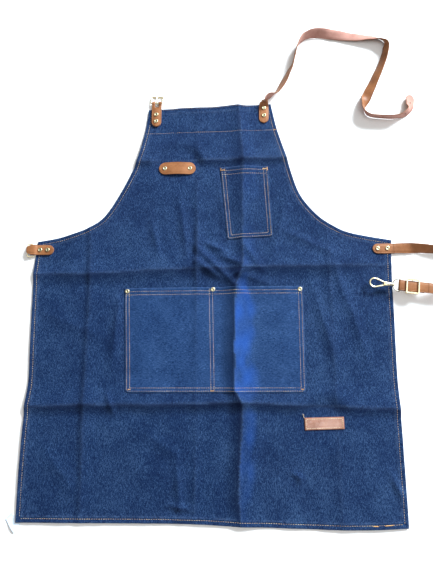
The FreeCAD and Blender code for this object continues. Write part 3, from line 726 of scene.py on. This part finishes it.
def free_strap(name, route, round_tip):
    """A free strap along its route's smooth line, turned about it as the route says."""
    line = spline_through(name + "_line", route)
    points, total = evenly(line, 1.5 * MM)
    turns = []
    for x, y, turn, _ in route:
        spot = place(x, y)
        nearest = min(range(len(points)), key=lambda i: (points[i].xy - spot.xy).length)
        turns.append((nearest / (len(points) - 1), turn))
    half = STRAP_WIDTH / 2
    total_mm = total / MM
    stations = []
    distances = [total_mm * i / (len(points) - 1) for i in range(len(points))]
    samples = list(zip(distances, points))
    if round_tip:
        samples = [(s, p) for s, p in samples if s < total_mm - half]
        for back in reversed(end_steps(half)):
            s = total_mm - back
            index = min(int(s / total_mm * (len(points) - 1)), len(points) - 2)
            share = s / total_mm * (len(points) - 1) - index
            samples.append((s, points[index].lerp(points[index + 1], share)))
    for k, (s, point) in enumerate(samples):
        (_, before), (_, after) = neighbours(samples, k)
        along = (after - before).normalized()
        level = Vector((-along.y, along.x, 0)).normalized()
        upright = along.cross(level).normalized()
        turn = math.radians(table_value(turns, s / total_mm))
        across = level * math.cos(turn) + upright * math.sin(turn)
        normal = along.cross(across)
        width = round_end(total_mm - s, half) if round_tip else half
        stations.append((point, across, normal, width, 0.0))
    strap = strap_mesh(name + "_leather", stations, STRAP_THICKNESS, LEATHERS)
    finish_piece(strap, name)
    return strap, points, total, stations


def punched_holes(name, stations, places):
    """Dark round mouths on both sides of a strap, nearest to these places: painted shade where the punched
    holes are.
    """
    sides = 14
    verts, faces = [], []
    for x, y in places:
        spot = place(x, y)
        point, across, normal, _, _ = min(stations, key=lambda item: (item[0].xy - spot.xy).length)
        along = across.cross(normal)
        for side in (1, -1):
            base = len(verts)
            for k in range(sides):
                a = side * 2 * math.pi * k / sides
                rim = across * math.cos(a) + along * math.sin(a)
                out = normal * (side * (STRAP_THICKNESS / 2 + HOLE_LIFT) * MM)
                verts.append(point + out + rim * (HOLE_RADIUS * MM))
            faces.append(tuple(range(base, base + sides)))
    holes = new_object(name, verts, faces, [HOLE_SHADE])
    finish_piece(holes)
    return holes


make_camera()
neck_strap, neck_line, neck_length, neck_stations = free_strap("neck_strap", NECK_ROUTE, True)
neck_holes = punched_holes("neck_strap_holes", neck_stations, [(406, 812), (393, 786), (347, 781)])
tuple(neck_line[0])
[tuple(p) for p in neck_line]
waist_strap, waist_line, waist_length, _ = free_strap("waist_strap", WAIST_ROUTE, False)


def flat_strip(name, start, length, angle, base, thickness, half, round_start=True, round_stop=False,
               arch=0.0, turn=0.0, turn_length=1.0, lift=0.0):
    """A leather strip lying from start at this angle, its back at height base over the table.
    Over its last turn_length it turns by turn degrees and rises by lift."""
    steps = set()
    if round_start:
        steps.update(end_steps(half))
    if round_stop:
        steps.update(length - s for s in end_steps(half))
    steps.update(half + (length - 2 * half) * i / 14 for i in range(15))
    steps.update((0.0, length))
    direction = Vector((math.cos(angle), math.sin(angle), 0))
    level = Vector((-direction.y, direction.x, 0))
    stations = []

    def turned(s):
        return smooth(max(1 - (length - s) / turn_length, 0.0))

    def middle(s):
        x, y = start[0] + direction.x * s, start[1] + direction.y * s
        rise = arch * math.sin(math.pi * s / length) ** 2 + lift * turned(s)
        return place(x, y, base + thickness / 2 + rise)

    for s in sorted(steps):
        width = half
        if round_start:
            width = min(width, round_end(s, half))
        if round_stop:
            width = min(width, round_end(length - s, half))
        ahead, back = middle(min(s + 0.5, length)), middle(max(s - 0.5, 0))
        along = (ahead - back).normalized()
        angle_now = math.radians(turn * turned(s))
        across = level * math.cos(angle_now) + along.cross(level) * math.sin(angle_now)
        stations.append((middle(s), across, along.cross(across), width, 0.0))
    return strap_mesh(name, stations, thickness, LEATHERS)


NECK_ANCHOR = flat_strip("neck_anchor_leather", (107, 775.5), 46.2, math.pi / 2, LEATHER_SEAT,
                         STRAP_THICKNESS, STRAP_WIDTH / 2, turn=-42.0, turn_length=11.0, lift=4.6)
finish_piece(NECK_ANCHOR, "neck_strap_anchor")
WAIST_ANCHOR = flat_strip("waist_anchor_leather", (314, 507), 40.6, 0.0, LEATHER_SEAT, STRAP_THICKNESS,
                          STRAP_WIDTH / 2)
finish_piece(WAIST_ANCHOR, "waist_strap_anchor")
CHEST_TAB = flat_strip("chest_tab_leather", (-107.2, 677), 74.5, 0.0, LEATHER_SEAT, TAB_THICKNESS, 13,
                       True, True, 2.8)
finish_piece(CHEST_TAB, "chest_tab")


def folded_strip(name, fold, angle, length, radius, fold_z, knee, pinch, slot_from=None, narrow=None):
    """A strip folded round a bar: along under from its end, round the bar and back on top, to a round
    end. angle points from the fold to the round end."""
    half, thickness = STRAP_WIDTH / 2, TAB_THICKNESS
    direction = Vector((math.cos(angle), math.sin(angle), 0))
    level = Vector((direction.y, -direction.x, 0))
    middle_z = PANEL_TOP + thickness
    gap = thickness / 2 + 0.03
    path = []
    legs = [length - s for s in end_steps(half)]
    count = 10
    legs += [length - half - (length - half - pinch) * i / count for i in range(1, count + 1)]
    legs += [pinch - (pinch - knee) * i / 4 for i in range(1, 5)] + [knee * 0.5, 0.0]

    def leg_offset(x):
        share = smooth((x - knee) / (pinch - knee))
        return (fold_z + (middle_z - fold_z) * share), radius + (gap - radius) * share

    for x in legs:
        centre, offset = leg_offset(x)
        path.append((x, centre - offset, max(x, 0)))
    for degrees in range(15, 180, 15):
        a = math.radians(degrees)
        path.append((-radius * math.sin(a), fold_z - radius * math.cos(a), 0.0))
    for x in reversed(legs):
        centre, offset = leg_offset(x)
        path.append((x, centre + offset, max(x, 0)))
    spots = [place(fold[0] + direction.x * x, fold[1] + direction.y * x, z) for x, z, _ in path]
    stations = []
    for k, (spot, (x, z, run)) in enumerate(zip(spots, path)):
        before, after = neighbours(spots, k)
        normal = (after - before).normalized().cross(-level)
        width = round_end(length - run, half) if run > length - half else half
        if narrow:
            away = min(max(x + radius, 0) / (half + 1), 1.0)
            width = min(width, narrow + (half - narrow) * math.sqrt(1 - (1 - away) ** 2))
        open_half = 0.0
        if slot_from and run < slot_from:
            open_half = 3.3 * math.sqrt(min(1.0, (slot_from - run) / 3.3))
        stations.append((spot, -level, normal, width, open_half))
    return strap_mesh(name, stations, thickness, LEATHERS, slot=slot_from)


NECK_TAB = folded_strip("neck_tab_leather", (-115.5, 822), -math.pi / 2, 52, 2.4, 4.2, 1, 6, slot_from=13)
finish_piece(NECK_TAB, "neck_tab")
WAIST_TAB = folded_strip("waist_tab_leather", (-365, 507), 0.0, 52, 2.1, 5.8, 13.5, 20, narrow=2.5)
finish_piece(WAIST_TAB, "waist_tab")


def strap_end(name):
    """The strap's end round the bar of the hook's eye, beside the slider."""
    bar = Vector((358.5, 432.8))
    angle, radius = math.radians(-6.5), 2.2
    direction = Vector((math.cos(angle), math.sin(angle), 0))
    level = Vector((-direction.y, direction.x, 0))
    path = [(46 - 3.5 * i, -radius) for i in range(13)] + [(0.0, -radius)]
    path += [(-radius * math.sin(a), -radius * math.cos(a)) for a in map(math.radians, range(15, 180, 15))]
    path += [(0.0, radius)] + [(4.0 * i, radius) for i in range(1, 13)] + [(52.3, radius)]
    spots = [place(bar.x + direction.x * x, bar.y + direction.y * x, HOOK_AXIS + z) for x, z in path]
    stations = []
    for k, spot in enumerate(spots):
        before, after = neighbours(spots, k)
        normal = (after - before).normalized().cross(level)
        stations.append((spot, level, normal, STRAP_WIDTH / 2, 0.0))
    return strap_mesh(name, stations, TAB_THICKNESS, LEATHERS)


end_loop = strap_end("strap_end_leather")
finish_piece(end_loop, "strap_end_loop")


# ---------------------------------------------------------------- cloth pieces

def outline_inset(distance):
    """Points this far inside the edge, none nearer to it."""
    points = []
    count = len(OUTLINE)
    for i in range(count):
        before, after = OUTLINE[i - 1], OUTLINE[(i + 1) % count]
        run = (after - before).normalized()
        inner = OUTLINE[i] + Vector((-run.y, run.x)) * distance
        if edge_distance(inner.x, inner.y)[0] > distance - 0.25:
            points.append(inner)
    return points


def row_limits(y):
    """Where a level line crosses the outline, as pairs."""
    cuts = []
    for a, b in zip(OUTLINE, OUTLINE[1:] + OUTLINE[:1]):
        if (a.y > y) != (b.y > y):
            cuts.append((b.x - a.x) * (y - a.y) / (b.y - a.y) + a.x)
    return sorted(cuts)


def cloth_points():
    """The outline, rings inside it where the hem is, and an even field within them."""
    points = list(OUTLINE)
    rings = (1.2, 3.0, 5.0, 6.4, 7.6, 9.0, 11.0, 13.5)
    for distance in rings:
        points += outline_inset(distance)
    step = 4.2
    row = 0
    y = 4.0
    while y < 815:
        cuts = row_limits(y)
        for left, right in zip(cuts[::2], cuts[1::2]):
            x = left + (0.5 * step if row % 2 else 0.0)
            while x < right:
                if edge_distance(x, y)[0] > rings[-1] + step * 0.55:
                    points.append(Vector((x, y)))
                x += step
        y += step * 0.87
        row += 1
    return points


def make_panel():
    loop = len(OUTLINE)
    boundary = [(i, (i + 1) % loop) for i in range(loop)]
    flat, _, faces, _, _, _ = delaunay_2d_cdt(cloth_points(), boundary, [], 1, 1e-6)
    verts = [place(p.x, p.y, surface(p.x, p.y)) for p in flat]
    panel = new_object("apron_cloth", verts, [tuple(f) for f in faces], [DENIM, REVERSE])
    wear = []
    for p in flat:
        d, s = edge_distance(p.x, p.y)
        rope = 0.5 + ripple(s / 4.5, d / 10, 1.7)
        hem = (math.exp(-(d / 0.9) ** 2) + 0.6 * math.exp(-((d - HEM_WIDTH) / 1.2) ** 2)) * rope
        wear.append(min(0.8 * crease_wear(p.x, p.y) + 0.9 * max(hem, 0), 1.0))
    set_values(panel, "wear", wear)
    # The pressed values are painted highlight and painted shade at the folds.
    set_values(panel, "pressed", [pressed(p.x, p.y) for p in flat])
    for f in faces:
        a, b, c = (flat[i] for i in f[:3])
    thick = panel.modifiers.new("thickness", "SOLIDIFY")
    thick.thickness = CLOTH * MM
    thick.offset = -1.0
    thick.material_offset = 1
    finish_piece(panel, "apron_panel")


def slab(name, grid, thickness, materials):
    """A closed sheet from a grid of top points (rows of vectors in metres)."""
    rows, columns = len(grid), len(grid[0])
    down = Vector((0, 0, -thickness * MM))
    top = [p for row in grid for p in row]
    verts = top + [p + down for p in top]
    offset = len(top)
    faces, indices = [], []

    def add(face, index):
        faces.append(face)
        indices.append(index)

    for r in range(rows - 1):
        for c in range(columns - 1):
            a, b = r * columns + c, r * columns + c + 1
            d, e = a + columns, b + columns
            add((a, b, e, d), 0)
            add((a + offset, d + offset, e + offset, b + offset), 1)
    for r in range(rows - 1):
        for c, flip in ((0, False), (columns - 1, True)):
            a, b = r * columns + c, (r + 1) * columns + c
            add((a, b, b + offset, a + offset) if not flip else (b, a, a + offset, b + offset), 0)
    for c in range(columns - 1):
        for r, flip in ((0, True), (rows - 1, False)):
            a, b = r * columns + c, r * columns + c + 1
            add((a, b, b + offset, a + offset) if not flip else (b, a, a + offset, b + offset), 0)
    return new_object(name, verts, faces, materials, indices)


def make_hem(name, points):
    """The turned edge under the panel: a band that follows the outline."""
    grid = []
    for i in range(0, len(points), 2):
        before, after = neighbours(points, i)
        run = (after - before).normalized()
        inward = Vector((-run.y, run.x))
        row = []
        for across in (0.4, 1.5, 4.0, 7.0, 10.0, 12.0):
            p = points[i] + inward * across
            row.append(place(p.x, p.y, surface(p.x, p.y) - CLOTH - UNDER_GAP))
        grid.append(row)
    band = slab(name + "_cloth", grid, HEM_THICKNESS, [REVERSE, DENIM])
    finish_piece(band, name)


def make_facing():
    """The band behind the top of the bib."""
    grid = []
    rows, columns = 20, 70
    for r in range(rows + 1):
        v = r / rows
        left = Vector(FACING_LINE[0]).lerp(Vector(BIB_LEFT), v) + Vector((0.8, -0.5 * v))
        right = Vector(FACING_LINE[1]).lerp(Vector(BIB_RIGHT), v) + Vector((-0.8, -0.5 * v))
        row = []
        for c in range(columns + 1):
            p = left.lerp(right, c / columns)
            row.append(place(p.x, p.y - 0.4, surface(p.x, p.y) - CLOTH - UNDER_GAP))
        grid.append(row)
    band = slab("bib_facing_cloth", grid, HEM_THICKNESS, [REVERSE, DENIM])
    finish_piece(band, "bib_facing")


def quad_point(corners, u, v, radius=0.0):
    """A point of a four-cornered patch: u from left to right, v from bottom to top, with its two lower
    corners rounded to this radius."""
    tl, tr, br, bl = (Vector(c) for c in corners)
    width, height = ((br - bl).length + (tr - tl).length) / 2, ((tl - bl).length + (tr - br).length) / 2
    x, y = u * width, v * height
    if radius and y < radius:
        side = -1 if x < width / 2 else 1
        cx = radius if side < 0 else width - radius
        dx, dy = x - cx, y - radius
        if dx * side > 0:
            far, reach = max(abs(dx), abs(dy)), math.hypot(dx, dy)
            if reach > 1e-6:
                x, y = cx + dx * far / reach, radius + dy * far / reach
    u, v = x / width, y / height
    return bl.lerp(br, u).lerp(tl.lerp(tr, u), v)


ROW_ONE, ROW_TWO = 2.6, 8.4         # the two rows of stitches round a pocket


def groove(d, at):
    return -0.4 * math.exp(-((d - at) / 0.9) ** 2)


class Pocket:
    """A patch pocket whose front lies a little slack on the panel."""

    def __init__(self, corners, hems, dividers, radius, puff):
        self.corners, self.hems, self.dividers = corners, hems, dividers
        self.radius, self.puff = radius, puff
        tl, tr, br, bl = (Vector(c) for c in corners)
        self.width, self.height = (br - bl).length, (tl - bl).length

    def spot(self, across, up):
        """The point this many millimetres from the left side and from the bottom."""
        return quad_point(self.corners, across / self.width, up / self.height, self.radius)

    def lift(self, across, up):
        """Height of the front's top over the panel's."""
        sides = [0.0, *self.dividers, self.width]
        side = min(abs(across - s) for s in sides)
        depth = self.height - up
        rise = smooth((side - 9) / 26) * smooth((up - 9) / 40)
        mouth = smooth(1 - depth / 45)
        slack = ripple(across / 33, up / 42, self.puff + 3.3)
        z = 1.05 + rise * (self.puff * (0.35 + 0.65 * mouth) + 0.7 * slack)
        z += 0.45 * (1 - smooth((depth - self.hems[-1] - 1) / 2))
        z += groove(up, ROW_ONE) + groove(up, ROW_TWO)
        for s in sides:
            for at in ((ROW_ONE, ROW_TWO) if s in (0.0, self.width) else (3.0,)):
                z += groove(abs(across - s), at)
        for at in self.hems:
            z += groove(depth, at)
        rope = ripple(up / 5.0, across / 5.0, 6.1)
        return max(z + 0.35 * rope * (1 - smooth((side - 4) / 10)), 1.0)

    def height_at(self, across, up):
        p = self.spot(across, up)
        return p, surface(p.x, p.y) + self.lift(across, up)

    def make(self, name, node_name, front):
        step = 3.4
        special_x = [0, 1.2, ROW_ONE, 4.2, 5.6, 7.2, ROW_TWO, 9.6]
        columns = set(special_x) | {self.width - v for v in special_x}
        for s in self.dividers:
            columns |= {s + v for v in (-9, -6.5, -4.4, -3, -1.6, 0, 1.6, 3, 4.4, 6.5, 9)}
        rows = set(special_x) | {self.height - v for v in (0, 1.2, 3)}
        for at in self.hems:
            rows |= {self.height - at + v for v in (-1.6, 0, 1.6)}
        for values, limit in ((columns, self.width), (rows, self.height)):
            v = 12.0
            while v < limit - 12:
                if all(abs(v - w) > step * 0.5 for w in values):
                    values.add(v)
                v += step
        grid = []
        wear, folded = [], []
        for up in sorted(rows, reverse=True):
            row = []
            for across in sorted(columns):
                p, z = self.height_at(across, up)
                row.append(place(p.x, p.y, z))
                edge = min(across, self.width - across, up, self.height - up)
                rub = math.exp(-(edge / 0.9) ** 2) * (0.5 + ripple(across / 4, up / 4, 2.0))
                wear.append(min(max(0.9 * rub, 0) + 0.7 * crease_wear(p.x, p.y), 1.0))
                # Painted highlight and painted shade of the folds under the pocket, for its colour.
                folded.append(pressed(p.x, p.y))
            grid.append(row)
        cloth = slab(name, grid, 0.95, [front, REVERSE])
        set_values(cloth, "wear", wear + wear)
        set_values(cloth, "pressed", folded + folded)
        finish_piece(cloth, node_name)


chest = Pocket(CHEST_POCKET, (7.0, 15.5), [], 3.0, 1.3)
lower = Pocket(LOWER_POCKET, (6.5, 13.0), [DIVIDER_X + 159.5], 7.0, 1.7)

make_panel()
for hem_name, hem_points in EDGES.items():
    if hem_name != "bib_top":
        make_hem(hem_name, hem_points)
make_facing()
chest.make("chest_pocket_cloth", "chest_pocket", DENIM)
lower.make("lower_pocket_cloth", "lower_pocket", POCKET)


# ---------------------------------------------------------------- stitches

class Stitching:
    """Rows of separate stitches, gathered into one mesh."""

    def __init__(self, length=3.0, gap=1.3, radius=0.34):
        self.length, self.gap, self.radius = length, gap, radius
        self.verts, self.faces = [], []

    def stitch(self, a, b):
        """One stitch between two points in metres, rising from the cloth and diving back."""
        along = b - a
        side = Vector((-along.y, along.x, 0)).normalized()
        up = along.cross(side).normalized()
        if up.z < 0:
            up.negate()
        rings = [(0.0, 0.45, -0.55), (0.12, 0.9, 0.15), (0.5, 1.0, 0.4), (0.88, 0.9, 0.15),
                 (1.0, 0.45, -0.55)]
        base = len(self.verts)
        sides = 6
        for share, size, lift in rings:
            centre = a + along * share + up * (lift * self.radius * MM)
            for k in range(sides):
                angle = 2 * math.pi * k / sides
                offset = side * math.cos(angle) + up * math.sin(angle)
                self.verts.append(centre + offset * (size * self.radius * MM))
        for r in range(len(rings) - 1):
            for k in range(sides):
                i, j = base + r * sides + k, base + r * sides + (k + 1) % sides
                self.faces.append((i, j, j + sides, i + sides))
        self.faces.append(tuple(base + k for k in reversed(range(sides))))
        last = base + (len(rings) - 1) * sides
        self.faces.append(tuple(last + k for k in range(sides)))

    def row(self, points, top):
        """Stitches along a line of (x, y); top gives the cloth's height at each."""
        spots = [place(p[0], p[1], top(p[0], p[1])) for p in points]
        total = lengths_along(spots)
        pitch = (self.length + self.gap) * MM
        s = self.gap * 0.5 * MM
        while s + self.length * MM < total[-1]:
            size = self.length * MM * random.uniform(0.88, 1.06)
            ends = [point_at(spots, total, at) for at in (s, s + size)]
            shift = Vector((random.uniform(-0.12, 0.12), random.uniform(-0.12, 0.12), 0)) * MM
            self.stitch(ends[0] + shift, ends[1] + shift)
            s += pitch

    def finish(self, name, thread_material, node_name=None):
        finish_piece(new_object(name, self.verts, self.faces, [thread_material]), node_name)


def dense(points, step=1.5):
    """A polyline with a point about every step."""
    result = []
    for a, b in zip(points, points[1:]):
        a, b = Vector(a[:2]), Vector(b[:2])
        count = max(1, round((b - a).length / step))
        result += [a.lerp(b, i / count) for i in range(count)]
    result.append(Vector(points[-1][:2]))
    return result


def inset_line(points, distance, start=0.0, stop=0.0):
    """A line this far inside an edge, less its first and last stretch."""
    total = lengths_along(points)
    result = []
    for i, p in enumerate(points):
        if total[i] < start or total[i] > total[-1] - stop:
            continue
        before, after = neighbours(points, i)
        run = (after - before).normalized()
        result.append(p + Vector((-run.y, run.x)) * distance)
    return result


def stitch_panel():
    rows = Stitching()
    for name, distance, short in (("left_armhole_hem", HEM_STITCH, 4), ("right_armhole_hem", HEM_STITCH, 4),
                                  ("left_side_hem", HEM_STITCH, HEM_STITCH),
                                  ("right_side_hem", HEM_STITCH, HEM_STITCH),
                                  ("bottom_hem", HEM_STITCH, HEM_STITCH), ("bib_top", 1.8, 2)):
        rows.row(dense(inset_line(EDGES[name], distance, short, short)), surface)
    left, right = Vector(FACING_LINE[0]), Vector(FACING_LINE[1])
    rows.row(dense([left.lerp(right, 0.005), left.lerp(right, 0.995)]), surface)
    rows.finish("apron_stitches", TAN_THREAD)


def pocket_rows(pocket, rows):
    """Double rows down the sides and along the bottom, and the two rows of the top hem."""
    w, h = pocket.width, pocket.height
    for at in (ROW_ONE, ROW_TWO):
        path = [(at, h - 1), (at, at), (w - at, at), (w - at, h - 1)]
        pocket_row(pocket, rows, path)
    for at in pocket.hems:
        pocket_row(pocket, rows, [(1.5, h - at), (w - 1.5, h - at)])
    for s in pocket.dividers:
        for side in (-3.0, 3.0):
            pocket_row(pocket, rows, [(s + side, h - 1.5), (s + side, 2.0)])


def pocket_row(pocket, rows, path):
    spots = []
    for p in dense(path):
        q, z = pocket.height_at(p.x, p.y)
        spots.append(Vector((q.x, q.y, z)))
    flat = [Vector((p.x, p.y)) for p in spots]
    heights = {(round(p.x, 4), round(p.y, 4)): p.z for p in spots}
    rows.row(flat, lambda x, y: heights[(round(x, 4), round(y, 4))])


stitch_panel()
pocket_stitches = Stitching()
pocket_rows(chest, pocket_stitches)
pocket_rows(lower, pocket_stitches)
pocket_stitches.finish("pocket_stitches", TAN_THREAD)


def zigzag_tack(rows, a, b, top, width=1.3, pitch=0.55):
    """A bar tack: close zigzag stitches from a to b."""
    a, b = Vector(a), Vector(b)
    run = (b - a).normalized()
    side = Vector((-run.y, run.x))
    count = max(3, round((b - a).length / pitch))
    for i in range(count):
        p = a.lerp(b, i / count) - side * width / 2
        q = a.lerp(b, (i + 0.5) / count) + side * width / 2
        rows.stitch(place(p.x, p.y, top(p.x, p.y)), place(q.x, q.y, top(q.x, q.y)))


def make_tacks():
    rows = Stitching(radius=0.32)

    def pocket_top(x, y):
        return surface(x, y) + 1.5

    for a, b in (((20, 672), (27, 672.5)), ((103, 674.5), (110, 675)), ((0.5, 235), (7.5, 235)),
                 ((-154, 237), (-149, 237)), ((168, 239), (173, 239)), ((18, 676), (18.7, 670)),
                 ((111.9, 678), (112.5, 671))):
        zigzag_tack(rows, a, b, pocket_top)
    rows.finish("pocket_tacks", ORANGE_THREAD, "pocket_bar_tacks")
    knots = Stitching(radius=0.34)
    for a, b in (((288, 4.2), (297, 4.0)), ((309, 5.0), (323, 6.4)), ((127, 760), (132.5, 760.2))):
        zigzag_tack(knots, a, b, surface)
    knots.finish("apron_tacks", ORANGE_THREAD)


make_tacks()


# ---------------------------------------------------------------- rivets

# Profile of a rivet's cap, from its middle out: radius, height over the leather
CAP_PROFILE = [(0.0, 0.95), (0.8, 0.96), (1.35, 1.0), (1.75, 1.3), (2.1, 1.58), (2.7, 1.7), (3.4, 1.6),
               (3.95, 1.3), (4.25, 0.7), (4.3, 0.0)]
DIMPLE_RINGS = 3
RIVETS = {
    "neck_tab": ([(-116, 796), (-116, 781)], 6.0),
    "waist_tab": ([(-340, 507), (-325, 507)], 6.0),
    "neck_anchor": ([(107, 808), (107, 791.5)], 4.4),
    "waist_anchor": ([(323.5, 507), (342, 507.5)], 4.4),
    "chest_tab": ([(-95.5, 677), (-44.5, 677)], 4.2),
    "pocket": ([(-163, 423.5), (DIVIDER_X, 427), (171.5, 427.5)], 3.4),
}


def make_rivets(group, places, seat):
    sides = 28
    verts, faces, indices = [], [], []
    for x, y in places:
        base = len(verts)
        verts.append(place(x, y, seat + CAP_PROFILE[0][1]))
        for radius, height in CAP_PROFILE[1:]:
            for k in range(sides):
                a = 2 * math.pi * k / sides
                verts.append(place(x + radius * math.cos(a), y + radius * math.sin(a), seat + height))
        for k in range(sides):
            faces.append((base, base + 1 + k, base + 1 + (k + 1) % sides))
            indices.append(1)
        for r in range(len(CAP_PROFILE) - 2):
            for k in range(sides):
                i, j = base + 1 + r * sides + k, base + 1 + r * sides + (k + 1) % sides
                faces.append((i, i + sides, j + sides, j))
                indices.append(1 if r < DIMPLE_RINGS - 1 else 0)
        rim = base + 1 + (len(CAP_PROFILE) - 2) * sides
        faces.append(tuple(reversed(range(rim, rim + sides))))
        indices.append(0)
    caps = new_object(group + "_caps", verts, faces, [RIVET_GOLD, DIMPLE], indices)
    finish_piece(caps, group + "_rivet_caps")


for rivet_group, (rivet_places, rivet_seat) in RIVETS.items():
    make_rivets(rivet_group, rivet_places, rivet_seat)


# ---------------------------------------------------------------- labels

def make_label():
    """A plain leather patch with a stitched, pressed border and no mark on it."""
    grid = []
    rows, columns = 18, 48
    for r in range(rows + 1):
        v = 1 - r / rows
        row = []
        for c in range(columns + 1):
            u = c / columns
            p = quad_point(LABEL, u, v)
            edge = min(u * 71, (1 - u) * 71, v * 22, (1 - v) * 22)
            z = 1.75 - 0.35 * (1 - smooth(edge / 1.3)) - 0.25 * math.exp(-((edge - 2.6) / 0.6) ** 2)
            z -= 0.22 * math.exp(-((edge - 5.2) / 0.5) ** 2)
            z += 0.16 * ripple(p.x / 7, p.y / 4, 1.4) * smooth((edge - 3) / 2)
            row.append(place(p.x, p.y, surface(p.x, p.y) + z))
        grid.append(row)
    patch = slab("leather_label_patch", grid, 1.6, [LABEL_SIDE, FLESH_SIDE])
    finish_piece(patch, "leather_label")
    rows = Stitching(length=2.2, gap=0.9, radius=0.4)
    corners = [quad_point(LABEL, u, v)
               for u, v in ((0.035, 0.12), (0.965, 0.12), (0.965, 0.88), (0.035, 0.88))]
    for a, b in zip(corners, corners[1:] + corners[:1]):
        rows.row(dense([a, b]), lambda x, y: surface(x, y) + 1.6)
    tail = [(173, 187), (171.6, 189.6), (172, 192), (170, 194.5)]
    for a, b in zip(tail, tail[1:]):
        rows.stitch(place(*a, surface(*a) + 1.2), place(*b, surface(*b) + 1.2))
    rows.finish("label_stitches", PALE_THREAD)


def make_care_label():
    grid = []
    for r in range(13):
        v = 1 - r / 12
        row = []
        for c in range(11):
            p = quad_point(CARE_LABEL, c / 10, v)
            wave = 0.9 * math.sin(v * 5 + c * 0.25) + 0.9
            row.append(place(p.x, p.y, 0.75 + wave * smooth((-p.x - 342) / 14)))
        grid.append(row)
    label = slab("care_label_satin", grid, 0.3, [SATIN, SATIN])
    finish_piece(label, "care_label")


make_label()
make_care_label()


# ---------------------------------------------------------------- metal nodes, light and floor

def finish_metal():
    finishes = {"gate_spring": STEEL, "hook_eye": EYE_GOLD}
    metals = ["neck_buckle_frame", "neck_buckle_prong", "waist_ring", "strap_slider", "hook_eye", "hook_body",
              "hook_gate", "gate_pin", "gate_spring"]
    metals += [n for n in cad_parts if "rivet" in n]
    for name in metals:
        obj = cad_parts[name]
        finish = finishes.get(name, GOLD)
        for slot in obj.material_slots:
            slot.material = finish
        for polygon in obj.data.polygons:
            polygon.use_smooth = True


finish_metal()
tuple(waist_line[0])
[tuple(p) for p in waist_line]


def area_light(name, location, target, size, power, color=(1, 1, 1)):
    data = bpy.data.lights.new(name, "AREA")
    data.shape = "RECTANGLE"
    data.size, data.size_y = size
    data.energy = power
    data.color = color
    lamp = bpy.data.objects.new(name, data)
    bpy.context.collection.objects.link(lamp)
    lamp.location = location
    lamp.rotation_euler = (Vector(target) - Vector(location)).to_track_quat("-Z", "Y").to_euler()


def light_and_floor():
    world = bpy.data.worlds.new("studio")
    bpy.context.scene.world = world
    world.use_nodes = True
    set_inputs(world.node_tree.nodes["Background"], Color=(1.0, 0.98, 0.95, 1), Strength=0.42)
    area_light("window", (2.8, 3.1, 2.15), (0, 0, 0), (1.7, 1.3), 760, (0.84, 0.94, 1.0))
    area_light("lamp", (0.78, -0.5, 2.6), (0.2, -0.2, 0), (0.5, 0.22), 3)
    area_light("overhead", (0.9, -0.2, 2.6), (0.2, 0, 0), (2.2, 2.2), 22)
    size = 6.0
    floor = new_object("floor", [(-size, -size, 0), (size, -size, 0), (size, size, 0), (-size, size, 0)],
                       [(0, 1, 2, 3)], [plain_floor("floor_pale")])
    bpy.context.scene.view_settings.view_transform = "Standard"


light_and_floor()
